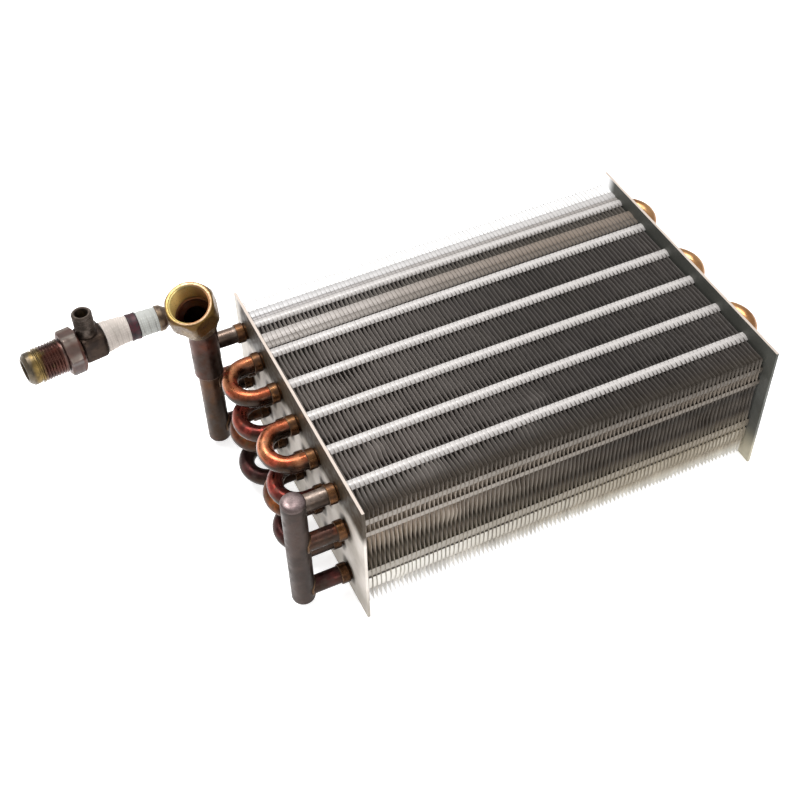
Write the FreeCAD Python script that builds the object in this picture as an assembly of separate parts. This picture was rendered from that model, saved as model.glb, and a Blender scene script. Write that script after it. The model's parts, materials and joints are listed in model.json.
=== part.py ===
import FreeCAD, Part
import math
import os

V = FreeCAD.Vector

# All lengths are millimetres. While building, X = 0 and Y = 0 are the coil's centre, Z = 0 is the
# bottom edge of the end plates. Everything is moved to the middle of the base box at the end.

# Tubes
TUBE_R = 4.76
TUBE_WALL = 0.6
TUBE_BORE_R = TUBE_R - TUBE_WALL
TUBE_PITCH = 25.4
BEND_R = TUBE_PITCH / 2
ROWS = 4
TUBES = 6
ROW_PITCH = 18.5
STAGGER = 9.5
TOP_ROW_Z = 69.35
BACK_TUBE_Y = 73.1
HOLE_GAP = 0.19

# Fin pack
FIN_COUNT = 95
FIN_PITCH = 2.5
FIN_T = 0.2
FIN_Y0 = -79.3
FIN_Y1 = 85.8
FIN_Z0 = 3.5
FIN_Z1 = 79.7
PACK_HALF = FIN_COUNT * FIN_PITCH / 2
TAB_W = 4.2
TAB_GAP = 0.12
TAB_OFFSET = -6.35

# End plates
PLATE_T = 1.5
PLATE_HALF_Y = 85.8
PLATE_H = 87.7
PLATE_OUT = PACK_HALF + PLATE_T

# Hairpin ends
HAIRPIN_RUN_OUT = 1.2
BELL_START = 0.5
BELL_LEN = 5.0
BELL_R = 5.65
BELL_BORE_R = TUBE_R + 0.15
BELL_FLARE_LEN = 1.0
LEG_INSERT = 1.6
RETURN_RUN_OUT = 9.75

# Headers
HEADER_X = -146.25
HEADER_BACK_Y = 64.6
HEADER_FRONT_Y = -62.4
HEADER_R = 6.35
HEADER_WALL = 0.9
HEADER_BORE_R = HEADER_R - HEADER_WALL
FRONT_TUBE_Z = (7.5, 83.6)
BACK_TUBE_Z = (6.4, 62.0)
CAP_SPIGOT = 3.0
CAP_SPIGOT_R = HEADER_BORE_R - 0.15
STUB_ELBOW_R = 7.25
STUB_TRIM = 0.1

# Suction tube and its tilted end
SUCTION_R = 7.95
SUCTION_BORE_R = 6.6
SUCTION_Z0 = 58.0
SUCTION_BEND_Z = 86.0
SUCTION_BEND_R = 24.0
TILT = math.radians(24)
HEADING = math.radians(-122)
FLARE_S = 9.0
FLARE_RUN = 1.8
FLARE_LIP = 0.7

# Flare nut, measured along its own axis from the end of the suction tube's bend
NUT_S0 = 0.8
NUT_NECK_R = 10.2
NUT_NECK_S = 6.0
NUT_CONE_R = 12.3
NUT_HEX_S = 12.0
NUT_MOUTH_S = 27.4
NUT_HEX_HALF = 12.7
NUT_CHAMFER = 1.1
NUT_BORE_R = 8.05
NUT_SEAT_S = 8.676
NUT_THREAD_R = 10.15
NUT_THREAD_S = 12.4
NUT_RELIEF_R = 10.5

# Partition and dip tube in the back header
PARTITION_Z = 41.6
PARTITION_T = 1.5
DIP_R = 3.175
DIP_BORE_R = 2.4
DIP_GAP = 0.17
DIP_BEND_R = 6.0
DIP_IN_Z = 79.0
DIP_END_Z = 37.6

# Taped line
LINE_Y = 77.6
LINE_Z = 94.9
LINE_R = 6.35
LINE_BORE_R = 5.35
LINE_X0 = -163.5
LINE_BEND_X = -188.0
LINE_BEND_R = 25.0
LINE_YAW = math.radians(7.5)
LINE_TAIL = 5.3
LINE_INSERT = 4.5
COLLAR_X = (-166.5, -159.5)
COLLAR_R = 7.6
COLLAR_NOSE_R = 4.8
COLLAR_STEP_X = -162.2
WRAP_GAP = 0.15
NEAR_WRAP_X = (-176.9, -166.6)
NEAR_WRAP_R = 6.95
BAND_X = (-182.3, -177.0)
BAND_R = 7.5
FAR_WRAP_X0 = -182.4
FAR_WRAP_R = 8.6

# Service tee, measured along the line from the tee's near face
TEE_LEN = 13.5
TEE_HALF_Y = 7.6
TEE_HALF_Z = 8.5
TEE_EDGE = 1.2
TEE_SOCKET_LEN = 5.0
TEE_SOCKET_R = LINE_R + 0.15
TEE_BORE_R = 4.4
PORT_S = 8.0
PORT_TOP = 22.5
PORT_R = 5.4
PORT_NECK_R = 4.8
PORT_THREAD_Z = 13.5
PORT_CHAMFER = 0.7
PORT_MOUTH_R = 3.4
CORE_SEAT = 11.0
CORE_CHANNEL_R = 2.75

# Valve core, pin and spring, heights above the line's axis
CORE_Z0 = 7.5
CORE_R = 2.6
CORE_FLANGE_R = 3.2
CORE_FLANGE_T = 1.5
CORE_TOP = 14.5
CORE_CUP_R = 1.9
CORE_CUP_Z = 12.0
PIN_R = 0.75
PIN_HOLE_R = 0.82
PIN_Z0 = 6.0
PIN_SEAL_R = 1.8
PIN_SEAL_T = 1.2
PIN_COLLAR_R = 1.5
PIN_COLLAR_Z = (15.2, 15.9)
PIN_TOP = 16.4
SPRING_R = 1.32
SPRING_WIRE_R = 0.16
SPRING_WIRE_SIDES = 8
SPRING_TURNS = 4

# Male fitting, same axis as the tee
SPIGOT_S = 10.2
SPIGOT_R = 5.0
SPIGOT_GAP = 0.15
HEX_S = (13.5, 22.5)
HEX_HALF = 11.11
HEX_TURN = math.radians(16)
THREAD_R = 9.525
THREAD_S = 37.0
THREAD_RELIEF = 1.0
GROOVE_R = 8.3
GROOVE_S = 38.0
NOSE_R = 8.9
NOSE_S = 42.0
MALE_END_S = 44.0
MALE_END_R = 6.9
MALE_BORE_R = 3.8
MALE_MOUTH_R = 5.5
MALE_MOUTH_S = 24.0

# Braze
BRAZE_T = 1.0
BRAZE_LIP = 0.75


def row_z(row):
    return TOP_ROW_Z - ROW_PITCH * row


def tube_y(row, index):
    return BACK_TUBE_Y - TUBE_PITCH * index - STAGGER * (row % 2)


def bent_path(points, radius):
    """Wire through the points, with each inner corner rounded to the radius."""
    edges = []
    last = points[0]
    for i in range(1, len(points) - 1):
        to_prev = (points[i - 1] - points[i]).normalize()
        to_next = (points[i + 1] - points[i]).normalize()
        half = to_prev.getAngle(to_next) / 2
        reach = radius / math.tan(half)
        start = points[i] + to_prev * reach
        end = points[i] + to_next * reach
        inward = (to_prev + to_next).normalize()
        centre = points[i] + inward * (radius / math.sin(half))
        middle = centre - inward * radius
        if (start - last).Length > 1e-6:
            edges.append(Part.makeLine(last, start))
        edges.append(Part.Arc(start, middle, end).toShape())
        last = end
    if (points[-1] - last).Length > 1e-6:
        edges.append(Part.makeLine(last, points[-1]))
    return Part.Wire(edges)


def swept_rod(path, radius):
    first = path.Edges[0]
    tangent = first.tangentAt(first.FirstParameter)
    circle = Part.makeCircle(radius, first.valueAt(first.FirstParameter), tangent)
    return path.makePipe(Part.Face(Part.Wire(circle)))


def swept_tube(path, radius, bore):
    return swept_rod(path, radius).cut(swept_rod(path, bore))


def turned(profile, origin, direction):
    """Solid of revolution of (radius, distance) corners about a line."""
    corners = [V(r, 0, s) for r, s in profile]
    face = Part.Face(Part.makePolygon(corners + [corners[0]]))
    solid = face.revolve(V(0, 0, 0), V(0, 0, 1), 360)
    solid.Placement = FreeCAD.Placement(origin, FreeCAD.Rotation(V(0, 0, 1), direction))
    return solid


def hexagon(half, s0, s1, turn, origin, direction):
    corner = half / math.cos(math.pi / 6)
    angles = [turn + math.pi / 3 * i for i in range(7)]
    points = [V(corner * math.cos(a), corner * math.sin(a), s0) for a in angles]
    solid = Part.Face(Part.makePolygon(points)).extrude(V(0, 0, s1 - s0))
    solid.Placement = FreeCAD.Placement(origin, FreeCAD.Rotation(V(0, 0, 1), direction))
    return solid


def one_solid(shape):
    solids = shape.removeSplitter().Solids
    if len(solids) != 1:
        raise ValueError("expected one solid, got %d" % len(solids))
    return solids[0]


def tube_holes(radius, x, length):
    holes = []
    for row in range(ROWS):
        for index in range(TUBES):
            base = V(x, tube_y(row, index), row_z(row))
            holes.append(Part.makeCylinder(radius, length, base, V(1, 0, 0)))
    return Part.makeCompound(holes)


def end_plate(x):
    blank = Part.makeBox(PLATE_T, 2 * PLATE_HALF_Y, PLATE_H, V(x, -PLATE_HALF_Y, 0))
    return one_solid(blank.cut(tube_holes(TUBE_R + HOLE_GAP, x - 1, PLATE_T + 2)))


def fin():
    """One fin at X = 0 with its spacer tabs reaching toward +X."""
    blank = Part.makeBox(FIN_T, FIN_Y1 - FIN_Y0, FIN_Z1 - FIN_Z0, V(0, FIN_Y0, FIN_Z0))
    tabs = []
    for index in range(TUBES):
        y = tube_y(0, index) + TAB_OFFSET - TAB_W / 2
        tabs.append(Part.makeBox(FIN_PITCH - TAB_GAP, TAB_W, FIN_T, V(0, y, FIN_Z1 - FIN_T)))
    blank = blank.cut(tube_holes(TUBE_R + HOLE_GAP, -1, FIN_T + 2))
    return one_solid(blank.fuse(tabs))


def fin_pack():
    pattern = fin()
    fins = []
    for i in range(FIN_COUNT):
        copy = pattern.copy()
        copy.translate(V(-PACK_HALF + FIN_PITCH * i + TAB_GAP / 2, 0, 0))
        fins.append(copy)
    return Part.makeCompound(fins)


def bell(y, z):
    profile = [
        (TUBE_BORE_R, 0), (TUBE_R, 0), (BELL_R, BELL_FLARE_LEN), (BELL_R, BELL_LEN),
        (BELL_BORE_R, BELL_LEN), (BELL_BORE_R, BELL_FLARE_LEN + 0.2), (TUBE_BORE_R, 0.4),
    ]
    return turned(profile, V(-PLATE_OUT - BELL_START, y, z), V(-1, 0, 0))


def u_path(x_open, x_bend, outward, y0, y1, z):
    """U-shaped wire: a leg, a half circle toward outward (+1 or -1 in X), a leg."""
    middle = V(x_bend + outward * BEND_R, (y0 + y1) / 2, z)
    arc = Part.Arc(V(x_bend, y0, z), middle, V(x_bend, y1, z)).toShape()
    first = Part.makeLine(V(x_open, y0, z), V(x_bend, y0, z))
    second = Part.makeLine(V(x_bend, y1, z), V(x_open, y1, z))
    return Part.Wire([first, arc, second])


def hairpin(row, pair):
    y0 = tube_y(row, 2 * pair)
    y1 = tube_y(row, 2 * pair + 1)
    z = row_z(row)
    path = u_path(-PLATE_OUT - BELL_START, PLATE_OUT + HAIRPIN_RUN_OUT, 1, y0, y1, z)
    tube = swept_tube(path, TUBE_R, TUBE_BORE_R)
    return one_solid(tube.fuse([bell(y0, z), bell(y1, z)]))


def leg_start_x():
    return -PLATE_OUT - BELL_START - LEG_INSERT


def return_bend(row, pair):
    y0 = tube_y(row, 2 * pair + 1)
    y1 = tube_y(row, 2 * pair + 2)
    path = u_path(leg_start_x(), -PLATE_OUT - RETURN_RUN_OUT, -1, y0, y1, row_z(row))
    return one_solid(swept_tube(path, TUBE_R, TUBE_BORE_R))


def stub_path(row, index, header_y):
    """Rows 2 and 4 run straight into the header, rows 1 and 3 turn into its back."""
    y = tube_y(row, index)
    z = row_z(row)
    start = V(leg_start_x(), y, z)
    corner = V(HEADER_X, y, z)
    if row % 2:
        return Part.Wire([Part.makeLine(start, corner)])
    return bent_path([start, corner, V(HEADER_X, header_y + 1.0, z)], STUB_ELBOW_R)


def header_radius(row, header_y):
    if row == 0 and header_y == HEADER_BACK_Y:
        return SUCTION_R
    return HEADER_R


def stub(row, index, header_y):
    tube = swept_tube(stub_path(row, index, header_y), TUBE_R, TUBE_BORE_R)
    trim_r = header_radius(row, header_y) + STUB_TRIM
    trim = Part.makeCylinder(trim_r, PLATE_H, V(HEADER_X, header_y, 0))
    return one_solid(tube.cut(trim))


def stub_openings(rows, index, header_y):
    return [swept_rod(stub_path(row, index, header_y), TUBE_BORE_R) for row in rows]


def upright_tube(radius, bore, x, y, z0, z1):
    outer = Part.makeCylinder(radius, z1 - z0, V(x, y, z0))
    return outer.cut(Part.makeCylinder(bore, z1 - z0, V(x, y, z0)))


def front_header():
    z0, z1 = FRONT_TUBE_Z
    tube = upright_tube(HEADER_R, HEADER_BORE_R, HEADER_X, HEADER_FRONT_Y, z0, z1)
    return one_solid(tube.cut(stub_openings(range(ROWS), TUBES - 1, HEADER_FRONT_Y)))


def back_header():
    z0, z1 = BACK_TUBE_Z
    tube = upright_tube(HEADER_R, HEADER_BORE_R, HEADER_X, HEADER_BACK_Y, z0, z1)
    return one_solid(tube.cut(stub_openings(range(1, ROWS), 0, HEADER_BACK_Y)))


def front_top_cap():
    r = HEADER_R
    profile = [(0, -CAP_SPIGOT), (CAP_SPIGOT_R, -CAP_SPIGOT), (CAP_SPIGOT_R, 0), (r, 0),
               (r, 1.4), (r - 0.6, 2.3), (r - 1.8, 2.9), (0, 3.2)]
    return turned(profile, V(HEADER_X, HEADER_FRONT_Y, FRONT_TUBE_Z[1]), V(0, 0, 1))


def front_bottom_cap():
    r = HEADER_R
    profile = [(0, -CAP_SPIGOT), (CAP_SPIGOT_R, -CAP_SPIGOT), (CAP_SPIGOT_R, 0), (r, 0),
               (r - 0.4, 1.0), (r - 1.3, 1.9), (r - 2.8, 2.5), (0, 2.8)]
    return turned(profile, V(HEADER_X, HEADER_FRONT_Y, FRONT_TUBE_Z[0]), V(0, 0, -1))


def back_bottom_cap():
    r = HEADER_R
    profile = [(0, -CAP_SPIGOT), (CAP_SPIGOT_R, -CAP_SPIGOT), (CAP_SPIGOT_R, 0), (r, 0),
               (r, 1.6), (r - 0.6, 2.2), (0, 2.2)]
    return turned(profile, V(HEADER_X, HEADER_BACK_Y, BACK_TUBE_Z[0]), V(0, 0, -1))


def nut_axis():
    """Origin (end of the suction tube's bend) and direction of the tilted end."""
    side = V(math.cos(HEADING), math.sin(HEADING), 0)
    origin = V(HEADER_X, HEADER_BACK_Y, SUCTION_BEND_Z)
    origin += side * (SUCTION_BEND_R * (1 - math.cos(TILT)))
    origin += V(0, 0, SUCTION_BEND_R * math.sin(TILT))
    return origin, side * math.sin(TILT) + V(0, 0, math.cos(TILT))


def suction_path(extra):
    origin, direction = nut_axis()
    corner = V(HEADER_X, HEADER_BACK_Y, SUCTION_BEND_Z + SUCTION_BEND_R * math.tan(TILT / 2))
    bottom = V(HEADER_X, HEADER_BACK_Y, SUCTION_Z0 - extra)
    return bent_path([bottom, corner, origin + direction * (FLARE_S + extra)], SUCTION_BEND_R)


def suction_tube():
    origin, direction = nut_axis()
    body = swept_rod(suction_path(0), SUCTION_R)
    lip = FLARE_LIP
    cone = [(SUCTION_R, FLARE_S), (SUCTION_R + FLARE_RUN, FLARE_S + FLARE_RUN),
            (SUCTION_R + FLARE_RUN - lip, FLARE_S + FLARE_RUN + lip), (SUCTION_BORE_R, FLARE_S + 0.05),
            (SUCTION_BORE_R, FLARE_S)]
    flare = turned(cone, origin, direction)
    body = body.cut(swept_rod(suction_path(0), SUCTION_BORE_R)).fuse(flare)
    body = body.cut(stub_openings([0], 0, HEADER_BACK_Y))
    entry = V(HEADER_X, HEADER_BACK_Y, DIP_IN_Z)
    return one_solid(body.cut(Part.makeCylinder(DIP_R + DIP_GAP, 2 * SUCTION_R, entry, V(0, 1, 0))))


def flare_nut():
    origin, direction = nut_axis()
    body = turned([(0, NUT_S0), (NUT_NECK_R, NUT_S0), (NUT_NECK_R, NUT_NECK_S),
                   (NUT_CONE_R, NUT_HEX_S), (0, NUT_HEX_S)], origin, direction)
    hexagon_part = hexagon(NUT_HEX_HALF, NUT_HEX_S, NUT_MOUTH_S, HEADING, origin, direction)
    corner = NUT_HEX_HALF / math.cos(math.pi / 6)
    rounding = turned([(0, 0), (corner + 0.1, 0), (corner + 0.1, NUT_MOUTH_S - NUT_CHAMFER),
                       (NUT_HEX_HALF - 0.1, NUT_MOUTH_S), (0, NUT_MOUTH_S)], origin, direction)
    seat_top = NUT_SEAT_S + NUT_RELIEF_R - NUT_BORE_R
    bore = turned([(0, 0), (NUT_BORE_R, 0), (NUT_BORE_R, NUT_SEAT_S), (NUT_RELIEF_R, seat_top),
                   (NUT_RELIEF_R, NUT_THREAD_S), (NUT_THREAD_R, NUT_THREAD_S),
                   (NUT_THREAD_R, NUT_MOUTH_S + 1), (0, NUT_MOUTH_S + 1)], origin, direction)
    return one_solid(body.fuse(hexagon_part.common(rounding)).cut(bore))


def dip_tube():
    points = [V(LINE_X0 + 0.5, LINE_Y, LINE_Z), V(HEADER_X, LINE_Y, LINE_Z), V(HEADER_X, LINE_Y, DIP_IN_Z),
              V(HEADER_X, HEADER_BACK_Y, DIP_IN_Z), V(HEADER_X, HEADER_BACK_Y, DIP_END_Z)]
    return one_solid(swept_tube(bent_path(points, DIP_BEND_R), DIP_R, DIP_BORE_R))


def header_partition():
    z0 = PARTITION_Z - PARTITION_T / 2
    z1 = PARTITION_Z + PARTITION_T / 2
    return upright_tube(CAP_SPIGOT_R, DIP_R + DIP_GAP, HEADER_X, HEADER_BACK_Y, z0, z1)


def line_points(x0, tail):
    """Corner points of the line from x0 to the tee; tail is the length past the yawed bend."""
    reach = LINE_BEND_R * math.tan(LINE_YAW / 2)
    corner = V(LINE_BEND_X - reach, LINE_Y, LINE_Z)
    return [V(x0, LINE_Y, LINE_Z), corner, corner + line_direction() * (reach + tail)]


def line_direction():
    return V(-math.cos(LINE_YAW), -math.sin(LINE_YAW), 0)


def tee_origin():
    return line_points(LINE_X0, LINE_TAIL)[2]


def line_pipe():
    path = bent_path(line_points(LINE_X0, LINE_TAIL + LINE_INSERT), LINE_BEND_R)
    return one_solid(swept_tube(path, LINE_R, LINE_BORE_R))


def line_ring(x_range, radius):
    length = x_range[1] - x_range[0]
    base = V(x_range[0], LINE_Y, LINE_Z)
    outer = Part.makeCylinder(radius, length, base, V(1, 0, 0))
    return one_solid(outer.cut(Part.makeCylinder(LINE_R + WRAP_GAP, length, base, V(1, 0, 0))))


def far_wrap():
    path = bent_path(line_points(FAR_WRAP_X0, LINE_TAIL - 0.1), LINE_BEND_R)
    return one_solid(swept_tube(path, FAR_WRAP_R, LINE_R + WRAP_GAP))


def line_collar():
    x0, x1 = COLLAR_X
    socket = LINE_X0 + 0.3 - x0
    step = COLLAR_STEP_X - x0
    end = x1 - x0
    profile = [(LINE_R + WRAP_GAP, 0), (COLLAR_R, 0), (COLLAR_R, step), (COLLAR_NOSE_R, end),
               (DIP_R + DIP_GAP, end), (DIP_R + DIP_GAP, socket), (LINE_R + WRAP_GAP, socket)]
    return turned(profile, V(x0, LINE_Y, LINE_Z), V(1, 0, 0))


def tee_placement():
    """Local X runs along the line away from the coil, local Z stays upright."""
    turn = FreeCAD.Rotation(V(0, 0, 1), math.degrees(LINE_YAW) + 180)
    return FreeCAD.Placement(tee_origin(), turn)


def service_tee():
    block = Part.makeBox(TEE_LEN, 2 * TEE_HALF_Y, 2 * TEE_HALF_Z, V(0, -TEE_HALF_Y, -TEE_HALF_Z))
    long_edges = [e for e in block.Edges if abs(e.Length - TEE_LEN) < 1e-6]
    block = block.makeChamfer(TEE_EDGE, long_edges)
    port = turned([(0, 0), (PORT_NECK_R, 0), (PORT_NECK_R, PORT_THREAD_Z), (PORT_R, PORT_THREAD_Z),
                   (PORT_R, PORT_TOP - PORT_CHAMFER),
                   (PORT_R - PORT_CHAMFER, PORT_TOP), (0, PORT_TOP)], V(PORT_S, 0, 0), V(0, 0, 1))
    well = turned([(0, 0), (CORE_CHANNEL_R, 0), (CORE_CHANNEL_R, CORE_SEAT), (PORT_MOUTH_R, CORE_SEAT),
                   (PORT_MOUTH_R, PORT_TOP + 1), (0, PORT_TOP + 1)], V(PORT_S, 0, 0), V(0, 0, 1))
    bore = turned([(0, -1), (TEE_SOCKET_R, -1), (TEE_SOCKET_R, TEE_SOCKET_LEN),
                   (TEE_BORE_R, TEE_SOCKET_LEN), (TEE_BORE_R, SPIGOT_S),
                   (SPIGOT_R + SPIGOT_GAP, SPIGOT_S), (SPIGOT_R + SPIGOT_GAP, TEE_LEN + 1),
                   (0, TEE_LEN + 1)], V(0, 0, 0), V(1, 0, 0))
    body = one_solid(block.fuse(port).cut([well, bore]))
    body.Placement = tee_placement()
    return body


def male_fitting():
    origin = tee_origin()
    direction = line_direction()
    hex_part = hexagon(HEX_HALF, HEX_S[0], HEX_S[1], HEX_TURN, origin, direction)
    corner = HEX_HALF / math.cos(math.pi / 6)
    rounding = turned([(0, HEX_S[0]), (HEX_HALF, HEX_S[0]), (corner + 0.1, HEX_S[0] + 1),
                       (corner + 0.1, HEX_S[1] - 1), (HEX_HALF, HEX_S[1]), (0, HEX_S[1])],
                      origin, direction)
    spigot_start = SPIGOT_S + 0.2
    stem = turned([(0, spigot_start), (SPIGOT_R, spigot_start), (SPIGOT_R, HEX_S[0]), (0, HEX_S[0])],
                  origin, direction)
    thread_start = HEX_S[1] + THREAD_RELIEF
    barrel = turned([(0, HEX_S[1]), (GROOVE_R, HEX_S[1]), (GROOVE_R, thread_start),
                     (THREAD_R, thread_start), (THREAD_R, THREAD_S), (GROOVE_R, THREAD_S),
                     (GROOVE_R, GROOVE_S), (NOSE_R, GROOVE_S), (NOSE_R, NOSE_S),
                     (MALE_END_R, MALE_END_S), (0, MALE_END_S)], origin, direction)
    bore = turned([(0, 0), (MALE_BORE_R, 0), (MALE_BORE_R, MALE_MOUTH_S), (MALE_MOUTH_R, MALE_MOUTH_S),
                   (MALE_MOUTH_R, MALE_END_S + 1), (0, MALE_END_S + 1)], origin, direction)
    return one_solid(hex_part.common(rounding).fuse([stem, barrel]).cut(bore))


def port_turned(profile):
    origin = tee_origin() + line_direction() * PORT_S
    return turned(profile, origin, V(0, 0, 1))


def valve_core():
    flange_top = CORE_SEAT + CORE_FLANGE_T
    return port_turned([(PIN_HOLE_R, CORE_Z0), (CORE_R, CORE_Z0), (CORE_R, CORE_SEAT),
                        (CORE_FLANGE_R, CORE_SEAT), (CORE_FLANGE_R, flange_top), (CORE_R, flange_top),
                        (CORE_R, CORE_TOP), (CORE_CUP_R, CORE_TOP), (CORE_CUP_R, CORE_CUP_Z),
                        (PIN_HOLE_R, CORE_CUP_Z)])


def valve_pin():
    seal_top = PIN_Z0 + PIN_SEAL_T
    return port_turned([(0, PIN_Z0), (PIN_SEAL_R, PIN_Z0), (PIN_SEAL_R, seal_top), (PIN_R, seal_top),
                        (PIN_R, PIN_COLLAR_Z[0]), (PIN_COLLAR_R, PIN_COLLAR_Z[0]),
                        (PIN_COLLAR_R, PIN_COLLAR_Z[1]), (PIN_R, PIN_COLLAR_Z[1]),
                        (PIN_R, PIN_TOP), (0, PIN_TOP)])


def valve_spring():
    z0 = CORE_CUP_Z + SPRING_WIRE_R + 0.02
    height = PIN_COLLAR_Z[0] - SPRING_WIRE_R - 0.02 - z0
    helix = Part.makeHelix(height / SPRING_TURNS, height, SPRING_R)
    turns = [2 * math.pi * i / SPRING_WIRE_SIDES for i in range(SPRING_WIRE_SIDES + 1)]
    corners = [V(SPRING_R + SPRING_WIRE_R * math.cos(t), 0, SPRING_WIRE_R * math.sin(t)) for t in turns]
    coil = Part.Wire(helix.Edges).makePipeShell([Part.makePolygon(corners)], True, True)
    coil.translate(tee_origin() + line_direction() * PORT_S + V(0, 0, z0))
    return one_solid(coil)


def braze_rings():
    """One ring at each belled joint, one under the suction tube."""
    x = -PLATE_OUT - BELL_START - BELL_LEN
    rings = []
    for row in range(ROWS):
        for index in range(TUBES):
            profile = [(BELL_BORE_R, 0), (BELL_BORE_R + BRAZE_LIP, 0), (BELL_BORE_R, BRAZE_T)]
            rings.append(turned(profile, V(x, tube_y(row, index), row_z(row)), V(-1, 0, 0)))
    inner = HEADER_R + WRAP_GAP
    profile = [(inner, 0), (SUCTION_R, 0), (inner, BRAZE_T)]
    rings.append(turned(profile, V(HEADER_X, HEADER_BACK_Y, SUCTION_Z0), V(0, 0, -1)))
    return Part.makeCompound(rings)


def coil_nodes():
    nodes = {
        "left_end_plate": end_plate(-PLATE_OUT),
        "right_end_plate": end_plate(PACK_HALF),
        "fins": fin_pack(),
        "braze_rings": braze_rings(),
    }
    for row in range(ROWS):
        for pair in range(TUBES // 2):
            nodes["hairpin_r%d_%d" % (row + 1, pair + 1)] = hairpin(row, pair)
        for pair in range(TUBES // 2 - 1):
            nodes["return_bend_r%d_%d" % (row + 1, pair + 1)] = return_bend(row, pair)
        nodes["back_stub_r%d" % (row + 1)] = stub(row, 0, HEADER_BACK_Y)
        nodes["front_stub_r%d" % (row + 1)] = stub(row, TUBES - 1, HEADER_FRONT_Y)
    return nodes


def header_nodes():
    return {
        "front_header_tube": front_header(),
        "front_header_top_cap": front_top_cap(),
        "front_header_bottom_cap": front_bottom_cap(),
        "back_header_tube": back_header(),
        "back_header_bottom_cap": back_bottom_cap(),
        "header_partition": header_partition(),
        "suction_tube": suction_tube(),
        "dip_tube": dip_tube(),
        "flare_nut": flare_nut(),
    }


def line_nodes():
    return {
        "line_collar": line_collar(),
        "line_pipe": line_pipe(),
        "tape_wrap_near": line_ring(NEAR_WRAP_X, NEAR_WRAP_R),
        "clamp_band": line_ring(BAND_X, BAND_R),
        "tape_wrap_far": far_wrap(),
        "service_tee": service_tee(),
        "male_fitting": male_fitting(),
        "valve_core": valve_core(),
        "valve_pin": valve_pin(),
        "valve_spring": valve_spring(),
    }


def base_shift(nodes):
    """Move that puts the middle of the overall base box at X = 0, Y = 0."""
    box = FreeCAD.BoundBox()
    for shape in nodes.values():
        box.add(shape.optimalBoundingBox(False, False))
    return V(-(box.XMin + box.XMax) / 2, -(box.YMin + box.YMax) / 2, 0)


def main():
    os.makedirs("parts", exist_ok=True)
    nodes = {}
    nodes.update(coil_nodes())
    nodes.update(header_nodes())
    nodes.update(line_nodes())
    shift = base_shift(nodes)
    print("shift", shift.x, shift.y)
    for name, shape in nodes.items():
        shape.translate(shift)
        shape.exportStep("parts/%s.step" % name)


main()
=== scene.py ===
import json
import math

import bmesh
import bpy
import numpy as np
from mathutils import Matrix, Vector, noise
from mathutils.geometry import delaunay_2d_cdt


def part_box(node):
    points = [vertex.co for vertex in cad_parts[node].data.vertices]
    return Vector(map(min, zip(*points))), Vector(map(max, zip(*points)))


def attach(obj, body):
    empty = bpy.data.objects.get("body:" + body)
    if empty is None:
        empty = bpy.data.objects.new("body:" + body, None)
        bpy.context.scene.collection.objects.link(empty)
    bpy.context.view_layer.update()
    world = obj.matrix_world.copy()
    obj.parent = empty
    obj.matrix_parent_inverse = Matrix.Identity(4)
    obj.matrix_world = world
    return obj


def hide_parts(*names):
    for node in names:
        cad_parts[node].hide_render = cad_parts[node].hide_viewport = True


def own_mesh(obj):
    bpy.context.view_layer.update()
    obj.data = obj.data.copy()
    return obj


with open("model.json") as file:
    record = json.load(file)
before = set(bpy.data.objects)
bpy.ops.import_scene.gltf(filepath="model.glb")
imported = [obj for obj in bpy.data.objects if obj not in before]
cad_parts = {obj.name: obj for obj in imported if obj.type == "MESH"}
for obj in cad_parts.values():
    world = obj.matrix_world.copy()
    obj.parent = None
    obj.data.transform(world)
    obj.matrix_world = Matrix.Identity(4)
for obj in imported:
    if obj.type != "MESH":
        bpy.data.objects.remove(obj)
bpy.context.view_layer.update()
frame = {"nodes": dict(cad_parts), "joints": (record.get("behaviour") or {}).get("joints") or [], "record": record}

MM = 0.001
RECORD = frame["record"]
MOUNTS = {m["name"]: m for m in RECORD["mounts"]}
ROWS = 4
TUBES = 6
rng = np.random.default_rng(11)


# ---------------------------------------------------------------- places read from the frame

def centre(node):
    low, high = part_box(node)
    return (low + high) / 2


def size(node):
    low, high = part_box(node)
    return high - low


TUBE_R = size("back_stub_r2").z / 2
TUBE_BORE = TUBE_R - 0.6 * MM
TUBE_PITCH = size("return_bend_r1_1").y - 2 * TUBE_R
BEND_R = TUBE_PITCH / 2
PLATE_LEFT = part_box("left_end_plate")[0].x
PLATE_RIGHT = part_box("right_end_plate")[1].x
FIN_LOW, FIN_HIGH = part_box("fins")
ROW_Z = [centre("back_stub_r%d" % (row + 1)).z for row in range(ROWS)]
BACK_Y = [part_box("back_stub_r%d" % (row + 1))[1].y - TUBE_R for row in range(ROWS)]
BACK_HEADER = centre("back_header_tube")
FRONT_HEADER = centre("front_header_tube")
HEADER_R = size("front_header_tube").x / 2
SUCTION_R = 7.95 * MM
NUT_MOUNT = MOUNTS["suction_nut_thread"]
NUT_AXIS = Vector(NUT_MOUNT["axis"]).normalized()
LINE_MOUNT = MOUNTS["line_male_thread"]
LINE_AXIS = Vector(LINE_MOUNT["axis"]).normalized()
NUT_THREAD_PITCH = 1.814 * MM
LINE_THREAD_PITCH = 1.5875 * MM
PORT_THREAD_PITCH = 1.27 * MM
BELL_X = PLATE_LEFT - 5.5 * MM
BELL_R = 5.65 * MM
SPRING_TURNS = 4
SPRING_STEPS = 28
SPRING_AROUND = 10
SPRING_WIRE = 0.16 * MM


def tube_y(row, index):
    return BACK_Y[row] - TUBE_PITCH * index


# ---------------------------------------------------------------- mesh helpers

def mm(pairs):
    """Millimetre pairs as metres."""
    return [(a * MM, b * MM) for a, b in pairs]


def linked(name, data):
    obj = bpy.data.objects.new(name, data)
    bpy.context.scene.collection.objects.link(obj)
    return obj


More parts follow.
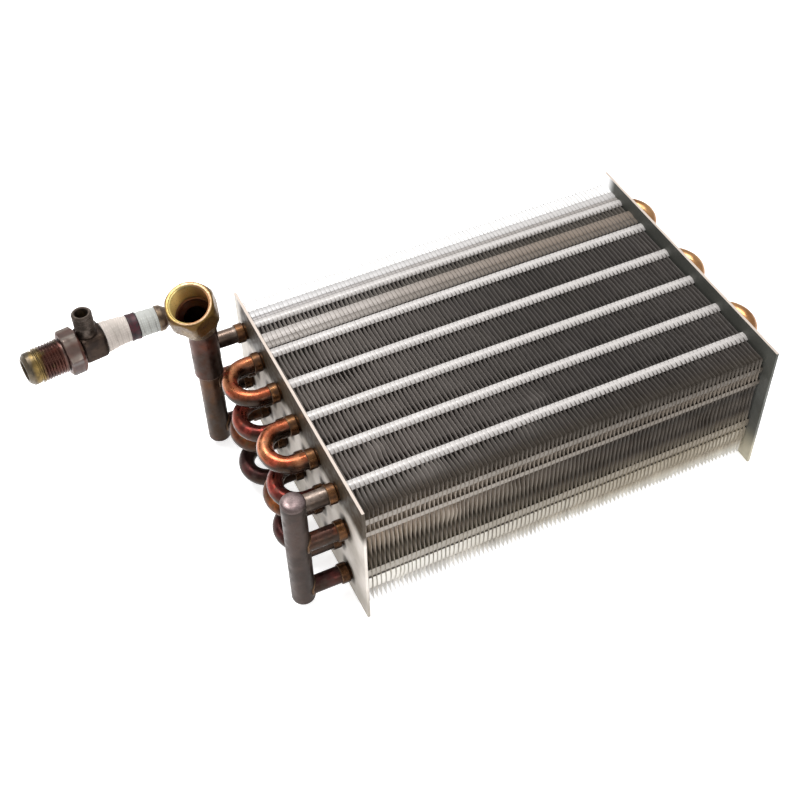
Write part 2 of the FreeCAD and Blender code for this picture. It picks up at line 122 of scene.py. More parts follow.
def smooth(mesh, angle):
    mesh.polygons.foreach_set("use_smooth", [True] * len(mesh.polygons))
    mesh.set_sharp_from_angle(angle=math.radians(angle))


def mesh_object(name, verts, faces, angle=32):
    mesh = bpy.data.meshes.new(name)
    mesh.from_pydata([tuple(v) for v in verts], [], faces)
    bm = bmesh.new()
    bm.from_mesh(mesh)
    bmesh.ops.remove_doubles(bm, verts=bm.verts, dist=1e-7)
    bmesh.ops.recalc_face_normals(bm, faces=bm.faces)
    bm.to_mesh(mesh)
    bm.free()
    smooth(mesh, angle)
    obj = linked(name, mesh)
    return obj


def skin_faces(count, around, loop, offset=0):
    faces = []
    last = count if loop else count - 1
    for i in range(last):
        a = offset + i * around
        b = offset + ((i + 1) % count) * around
        for j in range(around):
            k = (j + 1) % around
            faces.append((a + j, a + k, b + k, b + j))
    return faces


def skin(name, rings, loop, angle=32):
    """Mesh through a stack of closed rings; loop joins the last ring to the first."""
    rings = np.asarray(rings)
    count, around = rings.shape[:2]
    return mesh_object(name, rings.reshape(-1, 3), skin_faces(count, around, loop), angle)


def axis_frame(axis):
    axis = Vector(axis).normalized()
    side = axis.orthogonal().normalized()
    if abs(axis.z) < 0.9:
        side = axis.cross(Vector((0, 0, 1))).normalized()
    return np.array(side), np.array(axis.cross(side)), np.array(axis)


def spun(name, stations, origin, axis, around=64, loop=True, angle=32):
    """Turned piece. A station is (distance, radius), and the radius may be a function of the angle."""
    side, up, along = axis_frame(axis)
    angles = np.linspace(0, 2 * math.pi, around, endpoint=False)
    rings = []
    for s, r in stations:
        radii = np.array([r(a) for a in angles]) if callable(r) else np.full(around, r)
        ring = np.outer(radii * np.cos(angles), side) + np.outer(radii * np.sin(angles), up)
        rings.append(ring + np.array(origin) + along * s)
    return skin(name, rings, loop, angle)


def rounded(profile, reach, steps=3):
    """Profile with each corner cut by a short curve. Points are (distance, radius)."""
    out = []
    count = len(profile)
    for i in range(count):
        p = np.array(profile[i], float)
        before = np.array(profile[i - 1], float) - p
        after = np.array(profile[(i + 1) % count], float) - p
        la, lb = np.linalg.norm(before), np.linalg.norm(after)
        a = p + before / la * min(reach, la * 0.4)
        b = p + after / lb * min(reach, lb * 0.4)
        for t in np.linspace(0, 1, steps + 1):
            q = (1 - t) ** 2 * a + 2 * t * (1 - t) * p + t * t * b
            out.append((q[0], q[1]))
    return out


def path_frames(path):
    """Tangent, in-plane side and third axis at each point of a path that doesn't twist."""
    path = np.asarray(path, float)
    tangent = np.gradient(path, axis=0)
    tangent /= np.linalg.norm(tangent, axis=1)[:, None]
    normal = np.array(Vector(tangent[0]).orthogonal().normalized())
    if abs(tangent[0][2]) < 0.9:
        normal = np.cross(tangent[0], (0, 0, 1.0))
    sides = []
    for t in tangent:
        normal = normal - t * normal.dot(t)
        normal /= np.linalg.norm(normal)
        sides.append(normal.copy())
    sides = np.array(sides)
    return tangent, sides, np.cross(tangent, sides)


def tube_rings(path, radii, around, flat=None, seed=0.0, wobble=0.0):
    path = np.asarray(path, float)
    _, side, up = path_frames(path)
    angles = np.linspace(0, 2 * math.pi, around, endpoint=False)
    radii = np.broadcast_to(radii, (len(path),))
    flat = np.zeros(len(path)) if flat is None else flat
    rings = []
    for p, s, u, r, f in zip(path, side, up, radii, flat):
        rr = np.full(around, r)
        if wobble:
            for j, a in enumerate(angles):
                q = Vector(p + (s * math.cos(a) + u * math.sin(a)) * r)
                rr[j] += wobble * noise.noise(q * 180 + Vector((seed, 0, 0)))
        ring = np.outer(rr * np.cos(angles) * (1 - f), s) + np.outer(rr * np.sin(angles) * (1 + f * 0.3), u)
        rings.append(p + ring)
    return rings


def tube(name, path, radius, bore, around=36, flat=None, seed=0.0, wobble=0.0):
    outer = tube_rings(path, radius, around, flat, seed, wobble)
    inner = tube_rings(path, bore, around, flat, seed)
    return skin(name, outer + inner[::-1], True)


def arc_points(centre_point, start, end, steps):
    """Points from start to end about a centre, both ends included, in the plane they span."""
    a = np.array(start) - centre_point
    b = np.array(end) - centre_point
    angle = math.acos(np.clip(a.dot(b) / np.linalg.norm(a) / np.linalg.norm(b), -1, 1))
    ts = np.linspace(0, 1, steps + 1)
    return [centre_point + (math.sin((1 - t) * angle) * a + math.sin(t * angle) * b) / math.sin(angle)
            for t in ts]


def straight(a, b, step):
    count = max(2, int(np.linalg.norm(np.array(b) - np.array(a)) / step) + 1)
    return [np.array(a) + (np.array(b) - np.array(a)) * t for t in np.linspace(0, 1, count)]


def joined(*runs):
    points = []
    for run in runs:
        for p in run:
            if not points or np.linalg.norm(points[-1] - p) > 1e-6:
                points.append(np.array(p, float))
    return np.array(points)


def bead_rings(loop, radius, seed, around=10):
    """Closed lumpy bead along a closed loop of points."""
    loop = np.asarray(loop)
    count = len(loop)
    middle = loop.mean(0)
    rings = []
    angles = np.linspace(0, 2 * math.pi, around, endpoint=False)
    for i in range(count):
        t = loop[(i + 1) % count] - loop[i - 1]
        t /= np.linalg.norm(t)
        out = loop[i] - middle
        out -= t * out.dot(t)
        out /= np.linalg.norm(out)
        up = np.cross(t, out)
        q = Vector(loop[i])
        r = radius * (1 + 0.35 * noise.noise(q * 420 + Vector((seed, 0, 0))))
        rings.append(loop[i] + np.outer(r * np.cos(angles), out) + np.outer(r * np.sin(angles), up))
    return rings


def beads(name, loops, radius):
    verts, faces = [], []
    for n, loop in enumerate(loops):
        rings = np.array(bead_rings(loop, radius, n * 3.7))
        faces += skin_faces(rings.shape[0], rings.shape[1], True, len(verts))
        verts += list(rings.reshape(-1, 3))
    return mesh_object(name, verts, faces, 180)


def keep(obj, body, material, slot, *nodes):
    obj.data.materials.clear()
    obj.data.materials.append(material)
    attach(obj, body)
    if nodes:
        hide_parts(*nodes)
    return obj


# ---------------------------------------------------------------- materials

class Shader:
    """Short calls for a node material in the row frame's metres."""

    def __init__(self, name, metallic=0.0, roughness=0.5):
        self.material = bpy.data.materials.new(name)
        self.material.use_nodes = True
        self.tree = self.material.node_tree
        self.surface = self.tree.nodes["Principled BSDF"]
        self.surface.inputs["Metallic"].default_value = metallic
        self.surface.inputs["Roughness"].default_value = roughness
        self.place = self.tree.nodes.new("ShaderNodeTexCoord").outputs["Object"]

    def link(self, value, socket):
        if isinstance(value, bpy.types.NodeSocket):
            self.tree.links.new(value, socket)
        elif isinstance(value, tuple) and len(value) == 3 and socket.type == "RGBA":
            socket.default_value = (*value, 1)
        else:
            socket.default_value = value

    def scaled(self, scale):
        node = self.tree.nodes.new("ShaderNodeMapping")
        node.inputs["Scale"].default_value = scale
        self.tree.links.new(self.place, node.inputs["Vector"])
        return node.outputs["Vector"]

    def noise(self, scale, detail=3.0, rough=0.55, stretch=(1, 1, 1)):
        node = self.tree.nodes.new("ShaderNodeTexNoise")
        node.inputs["Scale"].default_value = scale
        node.inputs["Detail"].default_value = detail
        node.inputs["Roughness"].default_value = rough
        self.tree.links.new(self.scaled(stretch), node.inputs["Vector"])
        return node.outputs["Fac"]

    def wave(self, direction, scale, distortion=0.0):
        node = self.tree.nodes.new("ShaderNodeTexWave")
        node.wave_type = "BANDS"
        node.bands_direction = direction
        node.inputs["Scale"].default_value = scale
        node.inputs["Distortion"].default_value = distortion
        self.tree.links.new(self.place, node.inputs["Vector"])
        return node.outputs["Fac"]

    def axis(self, name):
        node = self.tree.nodes.new("ShaderNodeSeparateXYZ")
        self.tree.links.new(self.place, node.inputs[0])
        return node.outputs[name]

    def vector(self, kind, a, b=(0, 0, 0), result="Vector"):
        node = self.tree.nodes.new("ShaderNodeVectorMath")
        node.operation = kind
        self.link(a, node.inputs[0])
        self.link(b, node.inputs[1])
        return node.outputs[result]

    def facing(self, direction):
        """How far the surface faces a fixed direction of the row frame."""
        normal = self.tree.nodes.new("ShaderNodeNewGeometry").outputs["Normal"]
        return self.vector("DOT_PRODUCT", normal, direction, "Value")

    def upward(self):
        """How far the surface faces up: 1 on top, -1 underneath."""
        return self.facing((0, 0, 1))

    def radius(self, origin, direction):
        """Distance from a line through a point of the object."""
        shift = self.vector("SUBTRACT", self.place, origin)
        return self.vector("LENGTH", self.vector("CROSS_PRODUCT", shift, direction), result="Value")

    def along(self, origin, direction):
        """Distance from a point, measured along a fixed direction of the object."""
        return self.vector("DOT_PRODUCT", self.vector("SUBTRACT", self.place, origin), direction, "Value")

    def spread(self, value, low, high, to_low=0.0, to_high=1.0):
        node = self.tree.nodes.new("ShaderNodeMapRange")
        node.interpolation_type = "SMOOTHSTEP"
        self.link(value, node.inputs["Value"])
        for key, number in (("From Min", low), ("From Max", high), ("To Min", to_low), ("To Max", to_high)):
            node.inputs[key].default_value = number
        return node.outputs["Result"]

    def math(self, kind, a, b=0.0):
        node = self.tree.nodes.new("ShaderNodeMath")
        node.operation = kind
        self.link(a, node.inputs[0])
        self.link(b, node.inputs[1])
        return node.outputs[0]

    def times(self, a, b):
        return self.math("MULTIPLY", a, b)

    def wander(self, value, scale, reach):
        """A length made ragged by up to half a reach either way."""
        ragged = self.math("SUBTRACT", self.noise(scale, 3), 0.5)
        return self.math("ADD", value, self.times(ragged, reach))

    def mix(self, factor, a, b, kind="MIX"):
        node = self.tree.nodes.new("ShaderNodeMix")
        node.data_type = "RGBA"
        node.blend_type = kind
        self.link(factor, node.inputs["Factor"])
        self.link(a, node.inputs["A"])
        self.link(b, node.inputs["B"])
        return node.outputs["Result"]

    def ramp(self, value, stops):
        node = self.tree.nodes.new("ShaderNodeValToRGB")
        elements = node.color_ramp.elements
        while len(elements) < len(stops):
            elements.new(0.5)
        for element, (place, colour) in zip(elements, stops):
            element.position = place
            element.color = (*colour, 1)
        self.link(value, node.inputs["Fac"])
        return node.outputs["Color"]

    def noisy(self, scale, detail, low, high):
        """Roughness that wanders between two values."""
        self.roughness(self.spread(self.noise(scale, detail), 0.3, 0.7, low, high))

    def roughness(self, value):
        self.link(value, self.surface.inputs["Roughness"])

    def metallic(self, value):
        self.link(value, self.surface.inputs["Metallic"])

    def bump(self, height, strength, distance):
        node = self.tree.nodes.new("ShaderNodeBump")
        node.inputs["Strength"].default_value = strength
        node.inputs["Distance"].default_value = distance
        self.link(height, node.inputs["Height"])
        self.tree.links.new(node.outputs["Normal"], self.surface.inputs["Normal"])

    def finished(self, base, height, strength, distance):
        """The material, with its colour and bump in place."""
        self.link(base, self.surface.inputs["Base Color"])
        self.bump(height, strength, distance)
        return self.material


# Painted shade on the lower front side of the copper, the side facing this way.
PAINTED_SHADE_SIDE = (0.0, -0.8, -0.6)


def copper(name, bare, oxide, patina, cover=0.5, patches=0.35, rough=(0.22, 0.5), gold=None, painted_shade=0.75,
           blush=None):
    """Bare copper beneath blotchy oxide and patina, with painted shade on the undersides and the lower front side.
    """
    s = Shader(name, metallic=0.9)
    broad = s.noise(55, 3)
    medium = s.noise(260, 4)
    fine = s.noise(1500, 3)
    base = s.mix(s.spread(broad, 0.62 - cover * 0.5, 0.78 - cover * 0.4), bare, oxide)
    if blush:
        base = s.mix(s.spread(s.noise(95, 2), 0.52, 0.64, 0.0, 0.85), base, blush)
    if gold:
        near = s.spread(s.axis("X"), PLATE_LEFT - 8 * MM, PLATE_LEFT - 1 * MM)
        base = s.mix(s.times(near, s.spread(medium, 0.3, 0.6, 0.35, 1.0)), base, gold)
    base = s.mix(s.spread(medium, 0.78 - patches * 0.5, 0.9 - patches * 0.4), base, patina)
    base = s.mix(s.spread(fine, 0.35, 0.7, 0.0, 0.35), base, (0.03, 0.02, 0.02))
    # Painted shade: darker on the lower front side and on the undersides, broken up a little by noise.
    front_shade = s.spread(s.facing(PAINTED_SHADE_SIDE), -0.3, 0.4, 0.0, 0.95)
    underside_shade = s.math("MAXIMUM", s.spread(s.upward(), 0.72, 0.0), front_shade)
    underside_shade = s.times(underside_shade, painted_shade)
    broken = s.times(underside_shade, s.spread(broad, 0.2, 0.6, 0.7, 1.1))
    base = s.mix(broken, base, (0.028, 0.018, 0.012))
    s.roughness(s.spread(medium, 0.3, 0.7, rough[0], rough[1]))
    s.metallic(s.spread(medium, 0.35, 0.75, 0.95, 0.6))
    return s.finished(base, s.math("ADD", fine, s.times(medium, 1.5)), 0.35, 0.05 * MM)


def fin_material():
    """Dusty aluminium with painted light and shade; bands follow the fold lines on the front, partly as painted
    shade, and edges are painted darker than the faces as shade.
    """
    s = Shader("fin_aluminium", metallic=0.5, roughness=0.5)
    y = s.axis("Y")
    z = s.axis("Z")
    along = s.spread(s.axis("X"), PLATE_LEFT - 20 * MM, PLATE_LEFT + 170 * MM)
    y_part = s.math("DIVIDE", s.math("SUBTRACT", y, FIN_LOW.y), FIN_HIGH.y - FIN_LOW.y)
    z_part = s.math("DIVIDE", s.math("SUBTRACT", z, FIN_LOW.z), FIN_HIGH.z - FIN_LOW.z)
    # Painted light and shade: the ramps on the top and front are lighter on the left than the right, near white
    # toward the back of the top and pale low on the front.
    top_left = s.ramp(y_part, [
        (0.0, (0.17, 0.145, 0.12)), (0.06, (0.46, 0.42, 0.39)), (0.16, (0.51, 0.46, 0.43)),
        (0.74, (0.50, 0.455, 0.425)), (0.80, (0.60, 0.55, 0.51)), (0.86, (0.55, 0.51, 0.48)),
        (0.92, (0.82, 0.80, 0.79)), (1.0, (0.95, 0.95, 0.95))])
    top_right = s.ramp(y_part, [
        (0.0, (0.12, 0.10, 0.085)), (0.06, (0.115, 0.10, 0.09)), (0.16, (0.12, 0.107, 0.10)),
        (0.74, (0.12, 0.107, 0.10)), (0.80, (0.22, 0.195, 0.17)), (0.86, (0.18, 0.16, 0.14)),
        (0.92, (0.60, 0.59, 0.58)), (1.0, (0.95, 0.95, 0.95))])
    top = s.mix(along, top_left, top_right)
    below_top = s.spread(z, FIN_HIGH.z - 3 * MM, FIN_HIGH.z - 14 * MM)
    rear = s.times(s.spread(y_part, 0.88, 0.96), below_top)
    top = s.mix(rear, top, (0.40, 0.38, 0.355))
    left = s.ramp(z_part, [
        (0.0, (0.88, 0.87, 0.86)), (0.10, (0.93, 0.91, 0.87)), (0.27, (0.95, 0.90, 0.80)),
        (0.36, (0.50, 0.44, 0.36)), (0.43, (0.44, 0.38, 0.31)), (0.48, (0.12, 0.10, 0.07)),
        (0.53, (0.48, 0.41, 0.33)), (0.60, (0.88, 0.77, 0.65)), (0.67, (0.88, 0.76, 0.65)),
        (0.70, (0.52, 0.45, 0.37)), (0.82, (0.80, 0.70, 0.60)), (0.92, (0.34, 0.29, 0.24)),
        (1.0, (0.19, 0.155, 0.125))])
    right = s.ramp(z_part, [
        (0.0, (0.78, 0.76, 0.71)), (0.06, (0.72, 0.68, 0.60)), (0.12, (0.50, 0.44, 0.35)),
        (0.27, (0.45, 0.385, 0.28)), (0.37, (0.30, 0.255, 0.195)), (0.43, (0.18, 0.145, 0.11)),
        (0.48, (0.07, 0.055, 0.042)), (0.59, (0.14, 0.113, 0.09)), (0.67, (0.045, 0.035, 0.026)),
        (0.72, (0.13, 0.105, 0.085)), (0.80, (0.37, 0.31, 0.25)), (0.92, (0.20, 0.17, 0.14)),
        (1.0, (0.10, 0.083, 0.068))])
    front = s.mix(along, left, right)
    edge = s.spread(y, FIN_LOW.y + 3 * MM, FIN_LOW.y + 9 * MM, 1.0, 0.0)
    base = s.mix(edge, top, front)
    depth_y = s.spread(y, FIN_LOW.y + 0.3 * MM, FIN_LOW.y + 4 * MM)
    depth_z = s.spread(z, FIN_HIGH.z - 0.3 * MM, FIN_HIGH.z - 5 * MM)
    depth = s.times(depth_y, depth_z)
    # Painted shade: the colour is darkened near the top and front edges, except low down.
    no_edge_shade = s.math("MAXIMUM", depth, s.spread(z, FIN_LOW.z + 16 * MM, FIN_LOW.z + 6 * MM))
    base = s.mix(s.spread(no_edge_shade, 0.0, 1.0, 0.62, 0.0), base, s.mix(1.0, base, (0.25, 0.23, 0.21), "MULTIPLY"))
    streak = s.noise(1.0, 2, 0.6, (160, 14, 14))
    base = s.mix(s.spread(streak, 0.3, 0.75, 0.0, 0.25), base, (0.13, 0.115, 0.10))
    blot = s.noise(38, 4)
    base = s.mix(s.spread(blot, 0.5, 0.85, 0.0, 0.3), base, (0.42, 0.36, 0.30), "MULTIPLY")
    s.noisy(300, 3, 0.4, 0.62)
    return s.finished(base, s.noise(900, 3), 0.2, 0.04 * MM)


def tab_material(name, light, shade, right_light):
    """Bare aluminium tab: streaked along the coil, greyer in patches, and duller toward the right as painted
    shade.
    """
    s = Shader(name, metallic=0.3, roughness=0.42)
    base = s.mix(s.spread(s.noise(45, 3), 0.35, 0.75, 0.0, 0.5), light, shade)
    # Painted shade: the colour shifts toward the right.
    base = s.mix(s.spread(s.axis("X"), PLATE_LEFT - 20 * MM, PLATE_LEFT + 190 * MM), base, right_light)
    streak = s.noise(1.0, 3, 0.6, (25, 700, 60))
    base = s.mix(s.spread(streak, 0.45, 0.8, 0.0, 0.3), base, shade)
    s.noisy(420, 3, 0.34, 0.55)
    return s.finished(base, s.noise(700, 3), 0.2, 0.04 * MM)


def tube_distance(s):
    """Distance in the plate's plane to the nearest tube centre."""
    nearest = None
    for row in range(ROWS):
        offset = s.math("SUBTRACT", s.axis("Y"), tube_y(row, 0))
        index = s.math("ROUND", s.math("DIVIDE", offset, TUBE_PITCH))
        index = s.math("MAXIMUM", s.math("MINIMUM", index, 0.0), 1.0 - TUBES)
        wrapped = s.math("SUBTRACT", offset, s.times(index, TUBE_PITCH))
        height = s.math("SUBTRACT", s.axis("Z"), ROW_Z[row])
        square = s.math("ADD", s.times(wrapped, wrapped), s.times(height, height))
        nearest = square if nearest is None else s.math("MINIMUM", nearest, square)
    return s.math("SQRT", nearest)


def plate_material(name, face, shade, low_face, stain_and_shadow, corner):
    """Sheet metal: cream top edge, darker round the tubes with brazing stains and painted shadow, painted shadow
    along the top, and painted light and shade low down and at the back.
    """
    s = Shader(name, metallic=0.15, roughness=0.5)
    s.surface.inputs["Specular IOR Level"].default_value = 0.2
    z = s.axis("Z")
    base = s.mix(s.spread(s.noise(30, 4), 0.35, 0.7), face, shade)
    scratch = s.noise(1.0, 3, 0.6, (60, 30, 900))
    base = s.mix(s.spread(scratch, 0.5, 0.8, 0.0, 0.35), base, shade)
    # Painted light and shade: a separate colour low down.
    base = s.mix(s.spread(z, 28 * MM, 8 * MM), base, low_face)
    # Brazing stains and painted shadow: darker round each tube.
    halo = s.wander(tube_distance(s), 120, 6 * MM)
    base = s.mix(s.spread(halo, 9.5 * MM, 6.0 * MM, 0.0, 0.8), base, stain_and_shadow)
    # Painted shadow of the bends: a ragged dark band along the top.
    ragged = s.wander(z, 90, 9 * MM)
    base = s.mix(s.spread(ragged, 61 * MM, 70 * MM), base, stain_and_shadow)
    # Painted light and shade: a separate colour toward the back.
    base = s.mix(s.spread(s.axis("Y"), FIN_HIGH.y - 12 * MM, FIN_HIGH.y - 3 * MM), base, corner)
    edge = s.spread(s.upward(), 0.4, 0.8)
    base = s.mix(edge, base, (0.58, 0.50, 0.44))
    s.noisy(200, 3, 0.4, 0.65)
    return s.finished(base, s.noise(600, 4), 0.25, 0.05 * MM)


def tape_material(name, light, shade):
    """Woven tape: fine cross threads and grey smudges."""
    s = Shader(name, metallic=0.0, roughness=0.85)
    smudge = s.noise(70, 4)
    base = s.mix(s.spread(smudge, 0.4, 0.75, 0.0, 0.8), light, shade)
    threads = s.times(s.wave("X", 260, 1.5), s.wave("Z", 300))
    base = s.mix(s.spread(threads, 0.2, 0.9, 0.35, 0.0), base, shade)
    return s.finished(base, threads, 0.5, 0.12 * MM)


def solder_material():
    s = Shader("braze_alloy", metallic=0.85)
    base = s.mix(s.spread(s.noise(160, 3), 0.35, 0.7), (0.15, 0.085, 0.045), (0.06, 0.038, 0.026))
    s.noisy(700, 3, 0.3, 0.6)
    return s.finished(base, s.noise(500, 4), 0.5, 0.12 * MM)


def plain_metal(name, colour, dark, metallic, rough):
    s = Shader(name, metallic=metallic, roughness=rough)
    base = s.mix(s.spread(s.noise(300, 3), 0.35, 0.75), colour, dark)
    return s.finished(base, s.noise(1200, 3), 0.2, 0.03 * MM)


# ---------------------------------------------------------------- fin pack

FIN_COUNT = 95
FIN_PITCH = (FIN_HIGH.x - FIN_LOW.x) / (FIN_COUNT - 0.048)
FIN_T = 0.17 * MM
FIN_MID = -(FIN_LOW.x + FIN_HIGH.x) / 2
FOLD = ROW_Z[0] - ROW_Z[1]
# Handling dents: centre x (from the middle of the pack), y and z, reach, and push, in millimetres.
DENTS = [
    (-6, -52, 79, 5, 1.6), (-62, -62, 79, 7, -1.3), (-78, -70, 78, 9, 1.5), (-95, -45, 79, 6, 1.2),
    (-20, -66, 79, 6, 1.1), (30, -30, 79, 8, 0.9), (-88, 10, 79, 7, -1.0), (70, -60, 79, 7, -0.9),
    (-70, -79, 52, 6, 1.3), (-30, -79, 60, 6, -1.1), (40, -79, 35, 7, 1.0), (88, -79, 48, 6, -1.0),
    (-100, -79, 20, 6, 1.4), (-12, -79, 8, 6, -1.3), (62, -79, 12, 7, 1.2), (-96, 45, 79, 6, 1.0),
]


def fin_template():
    """Flat triangulation of one fin as (y, z) points with its tube holes, and its boundary edges."""
    y0, y1, z0, z1 = FIN_LOW.y, FIN_HIGH.y, FIN_LOW.z, FIN_HIGH.z - 0.1 * MM
    points, edges = [], []

    def add_loop(loop):
        start = len(points)
        points.extend(loop)
        edges.extend((start + i, start + (i + 1) % len(loop)) for i in range(len(loop)))

    ny, nz = 66, 34
    border = [(y0 + (y1 - y0) * i / ny, z0) for i in range(ny)]
    border += [(y1, z0 + (z1 - z0) * i / nz) for i in range(nz)]
    border += [(y1 - (y1 - y0) * i / ny, z1) for i in range(ny)]
    border += [(y0, z1 - (z1 - z0) * i / nz) for i in range(nz)]
    add_loop(border)
    holes = [(tube_y(r, i), ROW_Z[r]) for r in range(ROWS) for i in range(TUBES)]
    radius = TUBE_R + 0.15 * MM
    for hy, hz in holes:
        turns = [2 * math.pi * k / 18 for k in range(18)]
        add_loop([(hy + radius * math.cos(a), hz + radius * math.sin(a)) for a in turns])
    step = 4.4 * MM
    rows = int((z1 - z0) / step)
    for a in range(1, rows):
        z = z0 + (z1 - z0) * a / rows
        columns = int((y1 - y0) / step)
        for b in range(1, columns):
            y = y0 + (y1 - y0) * (b + 0.5 * (a % 2)) / (columns + 0.5)
            if min(math.hypot(y - hy, z - hz) for hy, hz in holes) > radius + 1.4 * MM:
                points.append((y, z))
    result = delaunay_2d_cdt([Vector(p) for p in points], edges, [], 0, 1e-7)
    verts = [tuple(v) for v in result[0]]
    faces = []
    for face in result[2]:
        cy = sum(verts[v][0] for v in face) / 3
        cz = sum(verts[v][1] for v in face) / 3
        if min(math.hypot(cy - hy, cz - hz) for hy, hz in holes) > radius * 0.97:
            faces.append(tuple(face))
    used = {}
    for face in faces:
        for a, b in zip(face, face[1:] + face[:1]):
            used[(a, b)] = True
    rim = [(a, b) for a, b in used if (b, a) not in used]
    return np.array(verts), np.array(faces), np.array(rim)


def fin_shift(x, y, z, number):
    """How far fin points lean out of their plane: folds, handling waves and dents."""
    fold = np.abs(((z - ROW_Z[0]) / (FOLD / 2)) % 1.0 - 0.5) * 4 - 1
    out = 0.06 * MM * fold
    top = np.clip((z - FIN_HIGH.z + 9 * MM) / (9 * MM), 0, 1) ** 2
    front = np.clip((FIN_LOW.y + 9 * MM - y) / (9 * MM), 0, 1) ** 2
    low = np.clip((FIN_LOW.z + 10 * MM - z) / (10 * MM), 0, 1) ** 2
    phase = number * 0.9
    wave = np.sin(y * 310 + phase) * 0.10 + np.sin(y * 97 + phase * 0.37) * 0.16
    wave_z = np.sin(z * 290 + phase) * 0.12 + np.sin(z * 120 + phase * 0.5) * 0.14
    out = out + MM * (top * wave + front * wave_z + low * wave * 1.6)
    for dx, dy, dz, reach, push in DENTS:
        far = ((x + FIN_MID - dx * MM) ** 2 + (y - dy * MM) ** 2 + (z - dz * MM) ** 2) / (reach * MM) ** 2
        out = out + push * MM * np.exp(-far) * np.maximum(top, np.maximum(front, low))
    return out


def fin_x(i):
    return FIN_LOW.x + FIN_T / 2 + FIN_PITCH * i


def build_fins():
    flat, faces, rim = fin_template()
    count = len(flat)
    verts, polys = [], []
    jitter = rng.normal(0, 0.07 * MM, FIN_COUNT)
    jitter[0] = abs(jitter[0])
    jitter[-1] = -abs(jitter[-1])
    for i in range(FIN_COUNT):
        x = fin_x(i)
        y, z = flat[:, 0], flat[:, 1]
        shift = fin_shift(x, y, z, i) + jitter[i]
        if i == 0:
            shift = np.maximum(shift, 0)
        if i == FIN_COUNT - 1:
            shift = np.minimum(shift, 0)
        base = 2 * count * i
        low = np.column_stack([x + shift - FIN_T / 2, y, z])
        high = np.column_stack([x + shift + FIN_T / 2, y, z])
        verts.append(low)
        verts.append(high)
        polys.append(faces[:, ::-1] + base)
        polys.append(faces + base + count)
        a, b = rim[:, 0] + base, rim[:, 1] + base
        polys.append(np.column_stack([a, b, b + count]))
        polys.append(np.column_stack([a, b + count, a + count]))
    verts = np.concatenate(verts)
    polys = np.concatenate(polys)
    mesh = bpy.data.meshes.new("fin_pack")
    mesh.vertices.add(len(verts))
    mesh.vertices.foreach_set("co", verts.ravel())
    mesh.loops.add(polys.size)
    mesh.loops.foreach_set("vertex_index", polys.ravel().astype(np.int32))
    mesh.polygons.add(len(polys))
    mesh.polygons.foreach_set("loop_start", np.arange(0, polys.size, 3, dtype=np.int32))
    mesh.update(calc_edges=True)
    mesh.validate()
    return linked("fin_pack", mesh)


# Tab rows on the top are placed by y from the ridge over the back tubes, and ribs on the front by z.
TAB_THICK = 0.16 * MM
RIDGE_Y = tube_y(0, 0) - 6.6 * MM
RIDGES = [(RIDGE_Y - 0.2 * MM, 4.8 * MM)]
RIDGES += [(RIDGE_Y + 0.2 * MM - TUBE_PITCH * k, 5.5 * MM) for k in range(1, TUBES)]


def top_strip(offset, width):
    return [(RIDGE_Y + offset * MM, width * MM)]


def rib(z, width):
    return [(z * MM, width * MM)]


def top_place(x, across, out):
    return (x, across, FIN_HIGH.z + min(out, 0.0))


def front_place(x, across, out):
    return (x, FIN_LOW.y - out, across)


def build_tabs(name, strips, below, cover, drop, place, dip):
    """Curved tabs, five points along each tab and seven across it, with a thickness.

    A strip is one bent-over tab on every fin: (middle of the tab, width). The tabs lie below the fins'
    edge, cover part of the pitch, and drop toward their lower side.
    """
    verts, faces = [], []
    across = np.linspace(-1, 1, 7)
    for middle, width in strips:
        point = np.array(place(0.0, middle, 0.0))
        xs = np.array([fin_x(i) for i in range(FIN_COUNT)])
        lean = np.array([float(fin_shift(x, point[1], point[2], i)) for i, x in enumerate(xs)])
        xs = np.clip(xs + lean, FIN_LOW.x, FIN_HIGH.x - 0.5 * MM)
        ends = np.append(xs[1:], FIN_HIGH.x)
        for x, end in zip(xs, ends):
            reach = (end - x) * cover
            tilt = rng.normal(0, 0.03) * MM
            lift = rng.normal(0, 0.02) * MM
            grid = []
            profile = ((0.0, -0.22 * dip), (0.015, -0.05 * dip), (0.08, 0.0), (0.55, 0.02), (1.0, -0.01))
            for u, rise in profile:
                row = []
                for v in across:
                    crown = 0.25 * MM * v * v + drop * MM * max(0.0, -v) ** 1.7
                    out = rise * MM - 0.04 * MM - below * MM - crown + lift * u
                    row.append(place(x + reach * u, middle + v * width / 2 + tilt * u, out))
                grid.append(row)
            base = len(verts)
            for row in grid:
                verts.extend(row)
            inward = np.array(place(0.0, 0.0, -TAB_THICK)) - np.array(place(0.0, 0.0, 0.0))
            for n, row in enumerate(grid):
                step = np.array((TAB_THICK, 0, 0)) if n < 2 else inward
                verts.extend(tuple(np.array(p) + step) for p in row)
            faces += tab_faces(base, len(grid), len(across))
    return mesh_object(name, verts, faces, 50)


def tab_faces(base, rows, cols):
    """Closed skin of one tab: two sheets of rows by cols points and the rim between them."""
    half = rows * cols
    faces = []
    for a in range(rows - 1):
        for b in range(cols - 1):
            p = base + a * cols + b
            faces.append((p, p + 1, p + cols + 1, p + cols))
            faces.append((p + half, p + half + cols, p + half + cols + 1, p + half + 1))
        for b in (0, cols - 1):
            p = base + a * cols + b
            faces.append((p, p + cols, p + cols + half, p + half))
    for b in range(cols - 1):
        for a in (0, rows - 1):
            p = base + a * cols + b
            faces.append((p, p + 1, p + 1 + half, p + half))
    return faces


# ---------------------------------------------------------------- copper pieces

